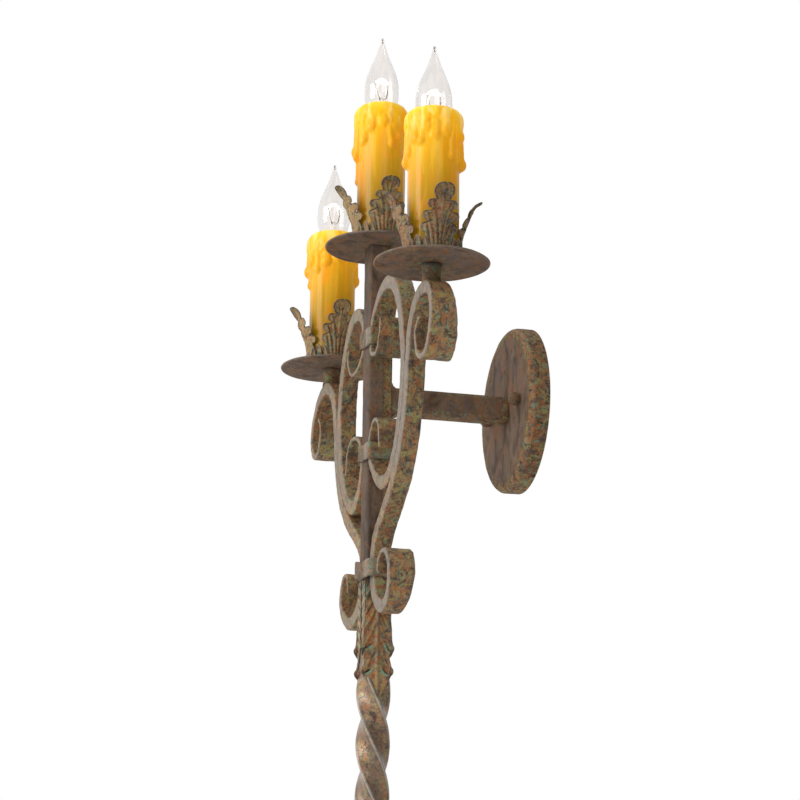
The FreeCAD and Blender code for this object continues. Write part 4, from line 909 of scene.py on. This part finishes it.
def leaf_cup(name, node, x, zp, seed, drop=0.0, side_pull=0.0):
    """One spun cup with four acanthus leaves and a scalloped low rim between them."""
    seat = zp + 1.0
    Vs, Fs, Ws, Ks, Gs = [], [], [], [], []
    off = 0
    rows, cols = 156, 49
    for k in range(4):
        s = np.linspace(0.0, S_LEAF - 0.02, rows)
        b = leaf_outline(s, LOBES, cup_base)
        b = b * (1 + 0.035 * vnoise(np.stack([s / 9, s * 0 + k, s * 0 + seed], -1), seed))
        q = np.linspace(-1, 1, cols)
        q = np.sign(q) * np.abs(q) ** 0.85
        S, Q = np.meshgrid(s, q, indexing="ij")
        v = Q * b[:, None]
        z = np.interp(S, arc, zz) - drop * smooth(S, 20, S_LEAF)
        r = np.interp(S, arc, rr)
        r = r - (side_pull if k in (1, 3) else 0.0) * smooth(S, 24, S_LEAF)
        sway = 1.0 + 0.05 * math.sin(2.1 * k + seed)
        r = 23.3 + (r - 23.3) * sway
        # relief: ribs that start side by side at the foot and fan out into the lobes, furrows between
        h = 1.0 * np.exp(-(v / 1.0) ** 2) * smooth(S, 3, 12) * (1 - smooth(S, S_LEAF - 13, S_LEAF - 4))
        groove = np.zeros_like(h)
        for n_, (cs, cv, rl) in enumerate(LOBES[1:]):
            for sg in (1, -1):
                foot = sg * (3.1, 6.0, 9.0)[n_]
                t = np.clip((S - (cs - 30.0)) / 31.5, 0, 1)
                line = foot + (sg * cv - foot) * t ** 2.0
                on = smooth(S, 2, 8) * (1 - smooth(S, cs, cs + 3.5))
                h += 0.80 * np.exp(-((v - line) / 0.95) ** 2) * on
                groove = np.maximum(groove, np.exp(-((v - line + sg * 1.55) / 0.62) ** 2) * on)
        for sg in (-1, 1):
            t = np.clip((S - (S_LEAF - 24)) / 19, 0, 1)
            on = smooth(S, S_LEAF - 22, S_LEAF - 15) * (1 - smooth(S, S_LEAF - 6, S_LEAF - 2))
            h += 0.5 * np.exp(-((v - sg * 5.0 * t) / 0.9) ** 2) * on
            groove = np.maximum(groove, 0.7 * np.exp(-((v - sg * 2.6 * t) / 0.7) ** 2) * on)
        groove = groove * (0.35 + 0.65 * smooth(vnoise(np.stack([S / 7, v / 3.0, S * 0 + k * 3.1 + seed], -1), seed + 7), -0.45, 0.35))
        # pinched folds where two lobes part
        for cs in (S_LEAF - 24.9, S_LEAF - 34.6, S_LEAF - 15.2):
            groove = np.maximum(groove, 0.9 * np.exp(-((S - cs + 0.25 * (np.abs(v) - 8)) / 1.1) ** 2) * smooth(np.abs(Q), 0.62, 0.85))
        edge = np.abs(Q) ** 6
        h += 1.0 * edge * smooth(S, 8, 22)
        dome = np.maximum(0, 1 - ((S - (S_LEAF - 8.7)) ** 2 + v ** 2) / 75.0)
        h -= 1.7 * dome - 0.5 * np.exp(-((1 - dome) / 0.28) ** 2) * (S > S_LEAF - 15)
        h -= 0.5 * groove
        h += 0.20 * fbm(np.stack([S / 5, v / 5, S * 0 + k + seed], -1), seed + 2)
        Rw = r * (1 + 2.6 * smooth(S, 26, S_LEAF))
        ang = v / Rw
        rad = r - Rw + (Rw + h) * np.cos(ang)
        lat = (Rw + h) * np.sin(ang)
        a = math.radians(90 * k)
        X = x + rad * math.cos(a) - lat * math.sin(a)
        Y = YB + rad * math.sin(a) + lat * math.cos(a)
        Vs.append(np.stack([X, Y, seat + z], -1).reshape(-1, 3))
        Fs += [tuple(i + off for i in f) for f in sheet_faces(rows, cols)]
        Ws.append(np.clip(0.45 * edge + 0.35 * np.clip(h - 0.35, 0, 1), 0, 0.7).ravel())
        # painted shade with grime: dark in the furrows and folds, round the edges of the lobe tips, and towards the
        # foot
        tip_edge_shade = smooth(dome, 0.34, 0.12) * (S > S_LEAF - 12) * (dome < 0.34)
        Ks.append(np.clip(0.80 * groove + 0.55 * tip_edge_shade * (edge > 0.4) + 0.25 * smooth(S, 12, 0), 0, 1).ravel())
        Gs.append((0.5 * smooth(S, 24, 6) * smooth(np.abs(Q), 0.3, 0.9)).ravel())
        off += rows * cols
    # scalloped rim between the leaves
    m, n = 720, 18
    th = np.linspace(0, 2 * np.pi, m, endpoint=False)
    d = np.degrees(th) % 90
    d = np.minimum(d, 90 - d)                     # degrees from the nearest leaf
    lob = np.abs(np.cos((d - 45) * math.pi / 16.0))
    top = 6.5 + 8.2 * np.sqrt(np.clip(lob, 0, 1)) * smooth(d, 22, 31) + 1.6 * np.exp(-((d - 45) / 9) ** 2)
    grid, so = [], []
    for i in range(n):
        f = i / (n - 1)
        zc = top * f
        rad = 22.9 + 0.5 * f + 2.3 * f ** 3 + 0.75 * lob * f
        grid.append(np.stack([x + rad * np.cos(th), YB + rad * np.sin(th), seat + zc], -1))
        # painted shade between the rim's lobes and low down by the floor
        so.append(np.clip(0.9 * (1 - lob) ** 2 * f + 0.35 * (1 - f) ** 2, 0, 1))
    Vs.append(np.array(grid).reshape(-1, 3))
    for i in range(n - 1):
        for j in range(m):
            k = (j + 1) % m
            Fs.append((off + i * m + j, off + i * m + k, off + (i + 1) * m + k, off + (i + 1) * m + j))
    Ws.append(np.repeat(0.6 * np.linspace(0, 1, n) ** 5, m))
    Ks.append(np.array(so).ravel())
    Gs.append(np.repeat(0.5 * (1 - np.linspace(0, 1, n)), m))
    off += n * m
    # dished floor of the cup, with a hole for the stem
    seg = 96
    t2 = np.linspace(0, 2 * np.pi, seg, endpoint=False)
    floor_ = [(4.95, 0.45), (10, 0.45), (16, 0.45), (21.5, 0.45), (23.0, 0.6)]
    for r_, z_ in floor_:
        Vs.append(np.stack([x + r_ * np.cos(t2), YB + r_ * np.sin(t2), np.full(seg, zp + z_)], -1))
        for q_ in (Ws, Ks, Gs):
            q_.append(np.zeros(seg))
    for i in range(len(floor_) - 1):
        for j in range(seg):
            k = (j + 1) % seg
            Fs.append((off + i * seg + j, off + i * seg + k, off + (i + 1) * seg + k, off + (i + 1) * seg + j))
    # the left and centre cups take the paler copy: painted light
    ob = make(name, np.concatenate(Vs), Fs, leaf_iron if x > 0 else leaf_lit_copy, node, "iron_light", wear=np.concatenate(Ws), sharp=0,
              recalc=False, soot=np.concatenate(Ks), verdi=np.concatenate(Gs))
    sol = ob.modifiers.new("thick", "SOLIDIFY")
    sol.thickness = 0.9 * MM
    sol.offset = 0.0
    return ob


# -------------------------------------------------------------- shaft leaves
def shaft_leaf(name, node, side, seed):
    rows, cols = 208, 69
    z = np.linspace(-168.5, -272.0, rows)
    base = np.interp(-z, [168, 178, 203, 222, 229, 234, 237, 246, 249.5, 254, 258, 266, 270.5, 272.0],
                     [11.6, 12.2, 12.5, 13.4, 14.9, 13.6, 11.2, 13.2, 14.3, 12.0, 9.6, 5.6, 3.0, 0.6])
    b = base.copy()
    for cz, cv, r in ((-228.6, 10.4, 4.9), (-248.8, 9.9, 4.8)):
        d = np.abs(z - cz)
        b = np.maximum(b, np.where(d < r, cv + np.sqrt(np.maximum(r * r - d * d, 0)), 0))
    q = np.linspace(-1, 1, cols)
    Z, Q = np.meshgrid(z, q, indexing="ij")
    v = Q * b[:, None]
    x = 11.40 + 0.05 * smooth(-Z, 230, 245) + 1.2 * smooth(-Z, 246, 272)
    over = np.maximum(0, np.abs(v) - 10.4)
    lob = np.maximum(smooth(Z, -236, -231) * smooth(Z, -202, -212), smooth(Z, -256, -252) * smooth(Z, -238, -242))
    # between the lobes the sheet bends back round the corner; at the lobes it rolls outwards
    x = x - 0.9 * over * (1 - lob) + (0.38 * over - 0.03 * over ** 2) * lob
    rib = 1.25 * np.exp(-(v / 1.5) ** 2)
    dark = np.zeros_like(Z)
    for cz, cv in ((-229.0, 13.2), (-249.0, 12.4), (-214.0, 12.8), (-200.0, 12.6), (-187.0, 12.4)):
        for sg in (1, -1):
            t = np.clip((-(Z) - (-cz - 30)) / 30, 0, 1)
            line = sg * cv * t ** 1.4
            on = smooth(t, 0.0, 0.3) * (1 - smooth(t, 0.96, 1.0))
            rib = rib + 0.55 * np.exp(-((v - line) / 1.2) ** 2) * on
            # painted shade along one side of each rib
            dark = np.maximum(dark, np.exp(-((v - line + sg * 1.9) / 0.8) ** 2) * on)
    h = rib * smooth(-Z, 168, 178) * (1 - smooth(-Z, 268, 272) * 0.5)
    # painted shade: a dark fold under each lobe and at the tongue's end
    for cz in (-233.6, -253.6):
        dark = np.maximum(dark, np.exp(-((Z - cz - 0.15 * (np.abs(v) - 12)) / 1.4) ** 2) * smooth(np.abs(v), 8.5, 11.0))
    dark = np.maximum(dark, smooth(-Z, 268.0, 271.5))
    top = smooth(-Z, 196, 176)
    # painted shade, blotched, towards the top under the collar
    dark = np.maximum(dark, 0.8 * top * smooth(vnoise(np.stack([Z / 4.0, v / 2.5, Z * 0], -1), 5), -0.1, 0.5))
    dark = dark * (0.35 + 0.65 * smooth(Z, -212, -198))
    # painted shade on the rolled edge under each lobe
    for cz in (-233.6, -253.6):
        dark = np.maximum(dark, smooth(np.abs(v), 10.8, 12.0) * smooth(Z, cz + 6.5, cz + 2.5) * smooth(Z, cz - 3.5, cz - 1.0))
    h += 0.15 * fbm(np.stack([Z / 6, v / 6, Z * 0 + seed], -1), seed) - 0.3 * dark
    pit, halo = np.zeros_like(Z), np.zeros_like(Z)
    for cz, cv, la, lb, tilt, sg in ((-227.5, 9.2, 5.0, 1.2, 31, -1), (-227.8, 9.4, 3.6, 1.0, 58, 1),
                                     (-249.0, 8.5, 3.7, 1.15, 34, -1), (-249.0, 7.3, 3.4, 1.0, 40, 1)):
        ca, sa = math.cos(math.radians(tilt)), math.sin(math.radians(tilt))
        dv, dz = (v * sg - cv), (Z - cz)
        # slots lean inwards towards the top; their lower rims are green
        p_ = -dv * ca + dz * sa
        o_ = dv * sa + dz * ca
        pit = np.maximum(pit, (v * sg > 0) * smooth((p_ / la) ** 2 + (o_ / lb) ** 2, 1.25, 0.75))
        e2 = (p_ / (la + 0.9)) ** 2 + ((o_ + 1.2) / (lb + 0.7)) ** 2
        halo = np.maximum(halo, (v * sg > 0) * smooth(e2, 1.2, 0.8) * (1 - pit))
    x = x + h - 0.8 * pit + 0.3 * halo
    P = np.stack([side * x, YB + v, Z], -1)
    Vs, Fs = [P.reshape(-1, 3)], sheet_faces(rows, cols)
    edge = np.abs(Q) ** 6
    Ws = [np.clip(0.45 * edge * (1 - top) + 0.35 * np.clip(h - 0.4, 0, 1) * (1 - 0.8 * top), 0, 0.7).ravel()]
    # painted shadow in the slots, and painted shade in the folds and furrows
    Ks = [np.clip(np.maximum(0.80 * dark, pit), 0, 1).ravel()]
    Gs = [np.clip(0.80 * halo + 0.5 * top * smooth(np.abs(v), 4, 11), 0, 1).ravel()]
    off = rows * cols
    # wings that lie along the two neighbouring faces of the bar
    for sg in (1, -1):
        n, m = 110, 13
        z2 = np.linspace(-168.5, -244.0 if sg < 0 else -218.0, n)
        if sg < 0:
            wv = np.interp(-z2, [168, 190, 222, 231, 239, 244], [9.6, 9.4, 9.0, 7.4, 3.6, 0.4]) + 0.6 * np.sin(z2 / 2.6)
        else:
            wv = np.interp(-z2, [168, 190, 206, 214, 218], [7.5, 7.0, 5.2, 2.6, 0.4]) + 0.6 * np.sin(z2 / 2.6)
        wv = np.maximum(wv, 0.3)
        t = np.linspace(0, 1, m)
        ZZ, T = np.meshgrid(z2, t, indexing="ij")
        xx = 11.6 - T * wv[:, None]
        lift_ = 0.30 if sg > 0 else 0.45
        ridge = np.sin(ZZ / 1.55 + T * 4)
        yy = 11.50 + lift_ * np.sin(T * 3.0) + (0.12 if sg > 0 else 0.32) * ridge
        Vs.append(np.stack([side * xx, YB + sg * yy, ZZ], -1).reshape(-1, 3))
        Fs += [tuple(i + off for i in f) for f in sheet_faces(n, m)]
        Ws.append(np.clip(0.4 * T ** 4 + 0.2 * ridge, 0, 0.5).ravel())
        # painted shade in the troughs of the ripples and towards the top under the collar
        Ks.append(np.clip(0.55 * smooth(ridge, 0.1, -0.8) + 0.35 * smooth(-ZZ, 185, 172), 0, 1).ravel())
        Gs.append(np.clip(0.45 * smooth(ridge, -0.5, 0.6), 0, 1).ravel())
        off += n * m
    ob = make(name, np.concatenate(Vs), Fs, leaf_warm, node, "iron_light", wear=np.concatenate(Ws), sharp=0, recalc=False,
              soot=np.concatenate(Ks), verdi=np.concatenate(Gs))
    sol = ob.modifiers.new("thick", "SOLIDIFY")
    sol.thickness = 0.9 * MM
    sol.offset = 0.0
    return ob


shaft_leaf("right_shaft_leaf_pressed", "right_shaft_leaf", 1, 3)
shaft_leaf("left_shaft_leaf_pressed", "left_shaft_leaf", -1, 8)


# ----------------------------------------------------------- candle sleeves
SLEEVE_H, SLEEVE_R, BORE = 134.5, 22.1, 17.0
VIEW = -15.4                                       # direction of the viewer from a candle's axis


def candle(name, node, x, zp, drips, seed, body, dy=0.0):
    seat, top = zp + 1.0, zp + 1.0 + SLEEVE_H
    m = 288
    th = np.linspace(0, 2 * np.pi, m, endpoint=False)
    rows = [(BORE, seat, 0.0), (SLEEVE_R - 0.8, seat, 0.0), (SLEEVE_R, seat + 0.8, 0.3)]
    for z in np.arange(seat + 2.5, top - 8.0, 0.80):
        rows.append((SLEEVE_R, z, 1.0))
    rr0 = 7.0
    for k in range(1, 10):
        a = math.radians(10.0 * k)
        rows.append((SLEEVE_R - 4.3 + 4.3 * math.cos(a), top - rr0 + rr0 * math.sin(a), 1.0 - 0.06 * k))
    rows += [(BORE + 0.1, top - 0.2, 0.0), (BORE, top - 1.4, 0.0), (BORE, seat + 70, 0.0)]
    rr_ = np.array([r for r, z, f in rows])[:, None]
    Z = np.array([z for r, z, f in rows])[:, None] + 0 * th[None, :]
    F_ = np.array([f for r, z, f in rows])[:, None]
    TH = th[None, :] + 0 * Z
    D = top - Z                                    # distance below the top
    T = np.zeros_like(Z)
    for deg, length, wd, tk in drips:
        a = math.radians(VIEW + deg)
        dl = (np.angle(np.exp(1j * (TH - a)))) * SLEEVE_R
        dl = dl + 0.9 * np.sin(D / 8.0 + deg) + 0.4 * np.sin(D / 3.1 + 2 * deg)
        g = np.clip(D / max(length, 1), 0, 1)
        # a run that swells towards its end, with a round drop
        wloc = wd * (0.74 + 0.26 * g + 0.10 * np.sin(D / 4.3 + deg * 3))
        prof = np.sqrt(np.maximum(0, 1 - (dl / wloc) ** 2))
        run = tk * (0.46 + 0.28 * g) * prof * (D < length - wd * 0.5)
        dc = D - (length - wd)
        drop = tk * np.sqrt(np.maximum(0, 1 - (dl / (wd * 1.12)) ** 2 - (dc / (wd * 1.4)) ** 2))
        T = np.maximum(T, np.maximum(run, drop))
    # soft cap of melted wax, ragged along its lower rim
    c = np.stack([np.cos(TH) * 2.4, np.sin(TH) * 2.4, np.full_like(TH, seed * 1.7)], -1)
    rim = 19.0 + 8.0 * vnoise(c, seed) + 5.0 * vnoise(c * 2.3, seed + 1)
    lump = vnoise(np.stack([np.cos(TH) * 3.4, np.sin(TH) * 3.4, Z / 9.0], -1), seed + 8)
    melt = (2.35 + 0.7 * lump) * (1 - smooth(D, rim - 2.5, rim + 1.2))
    T = np.sqrt(T ** 2 + melt ** 2)
    flute = 0.26 * vnoise(np.stack([np.cos(TH) * 7.0, np.sin(TH) * 7.0, Z / 70.0], -1), seed + 4) \
        + 0.34 * vnoise(np.stack([np.cos(TH) * 2.8, np.sin(TH) * 2.8, Z / 30.0], -1), seed + 6)
    T2 = T.copy()
    for _ in range(2):                             # round off the drip edges
        T2 = (T2 + np.roll(T2, 1, 1) + np.roll(T2, -1, 1)) / 3
        T2[1:-1] = (T2[1:-1] + T2[:-2] + T2[2:]) / 3
    R_ = rr_ + F_ * (T2 + flute)
    G = np.stack([x + R_ * np.cos(TH), YB + dy * smooth(Z, seat, seat + 25) + R_ * np.sin(TH), Z], -1)
    V, F = torus_grid(G)
    ob = make(name, V, F, wax, node, "wax", wear=np.clip(T2 * F_ / 6.0, 0, 1).ravel(), sharp=0, body=body)
    at_ = ob.data.attributes.new("height", "FLOAT", "POINT")
    at_.data.foreach_set("value", np.clip((Z.ravel() - seat) / SLEEVE_H, 0, 1).astype(np.float32))
    return ob


def filler(seed, taken, n=9):
    """Drips for the sides that no picture shows."""
    rng = np.random.default_rng(seed)
    out = []
    for k in range(n):
        d = 105 + 150.0 * (k + 0.5) / n + rng.uniform(-6, 6)
        out.append((d, rng.uniform(24, 58), rng.uniform(3.0, 4.8), rng.uniform(2.6, 5.0)))
    return out


DR_RIGHT = [(92, 52, 4.6, 6.4), (80, 29, 5.0, 5.0), (66, 49, 3.0, 3.8), (46, 47, 3.0, 3.0), (28, 27, 4.4, 2.8),
            (5, 31, 4.0, 3.0), (-18, 24, 4.6, 2.6), (-30, 36, 3.2, 2.6), (-46, 33, 4.6, 3.0), (-66, 43, 3.6, 3.4),
            (-90, 51, 4.6, 5.4)]
DR_CENTER = [(86, 42, 4.2, 4.4), (62, 28, 4.6, 3.2), (44, 37, 3.4, 2.9), (34, 29, 4.6, 3.0), (24, 45, 3.4, 3.0), (2, 24, 4.6, 2.8),
             (-26, 29, 4.4, 2.8), (-50, 41, 4.2, 3.2), (-74, 54, 4.0, 5.0), (-92, 48, 4.8, 6.0), (-84, 76, 2.6, 2.6)]
DR_LEFT = [(90, 52, 4.4, 4.4), (68, 36, 4.4, 3.0), (40, 30, 4.6, 2.8), (12, 33, 4.2, 2.8), (-18, 37, 4.6, 3.0),
           (-40, 43, 3.6, 3.2), (-68, 33, 4.6, 3.6), (-92, 43, 5.2, 6.4), (-80, 56, 3.0, 3.0)]


# ------------------------------------------------------------------- lamps
def lamp(prefix, x, top, lift, body, dy=0.0):
    g0 = top - 15.0 + lift
    yl = YB + dy
    prof = np.array([(5.6, 0.0), (6.8, 2.0), (10.2, 6.0), (13.4, 10.5), (15.4, 16.0), (16.0, 22.0), (16.0, 27.0),
                     (15.5, 34.0), (13.6, 42.0), (10.8, 50.0), (7.7, 57.5), (5.0, 65.0), (3.1, 71.5), (1.9, 76.0),
                     (1.3, 79.0), (1.0, 79.8)])
    ch = np.concatenate([[0], np.cumsum(np.hypot(*np.diff(prof, axis=0).T))])
    q = np.linspace(0, ch[-1], 110)
    out = cubic(ch, prof, q)
    t = np.gradient(out, axis=0)
    t /= np.hypot(t[:, 0], t[:, 1])[:, None]
    inn = out + 0.75 * np.stack([-t[:, 1], t[:, 0]], -1)
    keep = (inn[:, 0] > 0.35) & (inn[:, 1] < 75.0)
    inn = inn[keep][::-1]
    P = [(r, g0 + z) for r, z in out] + [(0.0, g0 + 80.0), (0.0, g0 + inn[0][1] + 0.4)] + [(r, g0 + z) for r, z in inn]
    V, F = lathe(P, x, yl, 80)
    # drawn by hand: the flame leans a touch
    k = smooth(V[:, 2], g0 + 40, g0 + 80)
    V[:, 1] += 0.25 * k
    make(prefix + "_bulb_glass_blown", V, F, glass, prefix + "_bulb_glass", "glass", sharp=0, body=body)

    # mount: pressed glass stem, two support wires, coiled filament
    stem = [(0.0, 0.4), (4.4, 0.4), (3.6, 3.0), (2.2, 8.0), (1.7, 14.0), (2.1, 17.0), (1.6, 19.5), (0.0, 20.4)]
    V, F = lathe([(r, g0 + z) for r, z in stem], x, yl, 32, closed=False)
    make(prefix + "_bulb_stem", V, F, glass, prefix + "_bulb_filament", "filament", sharp=0, body=body)

    def wire(nm, pts, rad, mat, seg=8):
        pts = np.array(pts, float)
        d = np.gradient(pts, axis=0)
        d /= np.linalg.norm(d, axis=1)[:, None]
        ref = np.array([1.0, 0.03, 0.02])
        R = []
        for p, t_ in zip(pts, d):
            a = np.cross(t_, ref)
            a /= np.linalg.norm(a)
            b = np.cross(t_, a)
            rd = rad if np.isscalar(rad) else rad[len(R)]
            R.append([p + rd * (math.cos(k) * a + math.sin(k) * b) for k in np.linspace(0, 2 * np.pi, seg, endpoint=False)])
        V, F = rings(np.array(R))
        return make(nm, V, F, mat, None, "filament", sharp=0, body=body)

    ka = [(1.0, 17.6, .24), (2.6, 18.6, .24), (4.5, 20.0, .30), (4.9, 21.5, .46), (5.5, 25.0, .46), (5.9, 28.0, .40), (6.0, 29.2, .22),
          (6.0, 32.0, .20), (6.0, 35.0, .20)]
    kb = [(-1.0, 17.4, .5), (-1.6, 18.4, .68), (-2.0, 19.6, .66), (-2.6, 21.0, .40), (-3.4, 24.0, .20), (-4.8, 29.5, .18), (-6.0, 35.0, .18)]
    for kk, tag in ((ka, "a"), (kb, "b")):
        kk = np.array(kk)
        t_ = np.linspace(0, len(kk) - 1, 40)
        yy, zz_, rd_ = (np.interp(t_, np.arange(len(kk)), kk[:, c_]) for c_ in range(3))
        wire(prefix + "_bulb_wire_" + tag, np.stack([np.full(40, x), yl + yy, g0 + zz_], -1), rd_, wire_m)
    n = 240
    f = np.linspace(0, 1, n)
    cx = yl - 6.0 + 12.0 * f
    cz = g0 + 35.0 + 3.4 * np.sin(math.pi * f)
    ph = f * 2 * math.pi * 20
    pts = np.stack([x + 0.75 * np.cos(ph), cx, cz + 0.75 * np.sin(ph)], -1)
    wire(prefix + "_bulb_coil", pts, 0.22, fil_m, 6)
    # sealed-off tip: a dark bead pinched into the point
    for tag, r0, zc, yy in (("a", 0.55, 77.8, 0.15), ("b", 0.42, 75.4, 0.35)):
        pr = [(0.0, zc + 1.0)] + [(r0 * math.sin(math.radians(a)), zc + 1.0 * math.cos(math.radians(a))) for a in (35, 70, 105, 140)] + \
            [(0.0, zc - 1.0)]
        V, F = lathe([(r, g0 + z) for r, z in pr], x, yl + yy, 20, closed=False)
        make(prefix + "_bulb_tip_" + tag, V, F, tip_m, None, "glass", sharp=0, body=body)


for prefix, x, zp, lift, drips, seed, dys, dyl, drop, pull in (
        ("left", -174.5, 76.8, 9.7, DR_LEFT, 11, -0.7, -0.9, 0.0, 1.5),
        ("center", 0.0, 146.1, 5.8, DR_CENTER, 23, 0.8, 0.3, 3.2, 2.0),
        ("right", 174.5, 76.8, -2.9, DR_RIGHT, 37, 0.8, 0.8, 0.0, 2.0)):
    leaf_cup(prefix + "_leaf_cup_pressed", prefix + "_leaf_cup", x, zp, seed, drop, pull)
    candle(prefix + "_candle_dripping", prefix + "_candle_sleeve", x, zp, drips + filler(seed, drips), seed, prefix + "_sleeve", dys)
    lamp(prefix, x, zp + 1.0 + SLEEVE_H, lift, prefix + "_bulb", dyl)

# ------------------------------------------------------- stage, light, camera
floor = bpy.data.meshes.new("studio_floor")
S = 4.0
floor.from_pydata([(-S, -S, -0.60), (S, -S, -0.60), (S, S, -0.60), (-S, S, -0.60)], [], [(0, 1, 2, 3)])
fo = bpy.data.objects.new("studio_floor", floor)
bpy.context.scene.collection.objects.link(fo)
w = Net("studio_floor")
w.shader(w.ramp(w.noise(2.0, 3), [(0.3, (0.80, 0.80, 0.79)), (0.7, (0.84, 0.84, 0.83))]), 0.7)
floor.materials.append(w.m)

# a pale studio: white behind and to the left, shaded towards the viewer's side
world = bpy.data.worlds.new("studio")
bpy.context.scene.world = world
world.use_nodes = True
wn, wl = world.node_tree.nodes, world.node_tree.links
bg = wn["Background"]
tc = wn.new("ShaderNodeTexCoord")
sep = wn.new("ShaderNodeSeparateXYZ")
wl.new(tc.outputs["Generated"], sep.inputs[0])


def wmath(op, a, b):
    t = wn.new("ShaderNodeMath")
    t.operation = op
    for s_, v_ in zip(t.inputs, (a, b)):
        if isinstance(v_, (int, float)):
            s_.default_value = v_
        else:
            wl.new(v_, s_)
    return t.outputs[0]


# 1 towards (-X, -Y), 0 towards (+X, +Y)
side_ = wmath("ADD", wmath("MULTIPLY", sep.outputs["X"], -0.60), wmath("MULTIPLY", sep.outputs["Y"], -0.62))
side_ = wmath("ADD", side_, wmath("MULTIPLY", sep.outputs["Z"], 0.25))
mr = wn.new("ShaderNodeMapRange")
mr.inputs["From Min"].default_value = -0.75
mr.inputs["From Max"].default_value = 0.75
mr.inputs["To Min"].default_value = 0.22
mr.inputs["To Max"].default_value = 1.05
mr.clamp = True
mr.interpolation_type = "SMOOTHSTEP"
wl.new(side_, mr.inputs["Value"])
lp = wn.new("ShaderNodeLightPath")
seen = wmath("MAXIMUM", lp.outputs["Is Camera Ray"], lp.outputs["Is Transmission Ray"])
mx = wn.new("ShaderNodeMix")
mx.data_type = "FLOAT"
wl.new(seen, mx.inputs[0])
wl.new(mr.outputs[0], mx.inputs[2])
mx.inputs[3].default_value = 1.0
bg.inputs["Color"].default_value = (1, 1, 1, 1)
wl.new(mx.outputs[0], bg.inputs["Strength"])


def area(name, loc, target, size, power, color=(1, 1, 1)):
    l = bpy.data.lights.new(name, "AREA")
    l.shape = "RECTANGLE"
    l.size, l.size_y = size
    l.energy = power
    l.color = color
    o = bpy.data.objects.new(name, l)
    o.location = loc
    o.rotation_euler = (Vector(target) - Vector(loc)).to_track_quat("-Z", "Y").to_euler()
    bpy.context.scene.collection.objects.link(o)
    return o


area("front_soft", (0.4, -2.6, 0.7), (0, -0.14, -0.1), (1.5, 1.5), 34)
area("near_soft", (2.4, -0.2, 1.4), (0, -0.14, -0.1), (1.2, 1.2), 9)

AZ, PITCH, ROLL, F_PX = (math.radians(74.605), math.radians(14.893), math.radians(0.627), 2547.209)
fwd = Vector((-math.sin(AZ) * math.cos(PITCH), math.cos(AZ) * math.cos(PITCH), math.sin(PITCH)))
right = Vector((math.cos(AZ), math.sin(AZ), 0))
up = right.cross(fwd)
rt = right * math.cos(ROLL) + up * math.sin(ROLL)
ut = -right * math.sin(ROLL) + up * math.cos(ROLL)
cam = bpy.data.cameras.new("camera")
cam.sensor_width = 36.0
cam.lens = 36.0 * F_PX / 800.0
cam.clip_start, cam.clip_end = 0.05, 50
co = bpy.data.objects.new("camera", cam)
bpy.context.scene.collection.objects.link(co)
m4 = Matrix((rt, ut, -fwd)).transposed().to_4x4()
m4.translation = Vector((2.155896, -0.71187, -0.59293))
co.matrix_world = m4
bpy.context.scene.camera = co
bpy.context.scene.view_settings.view_transform = "Standard"
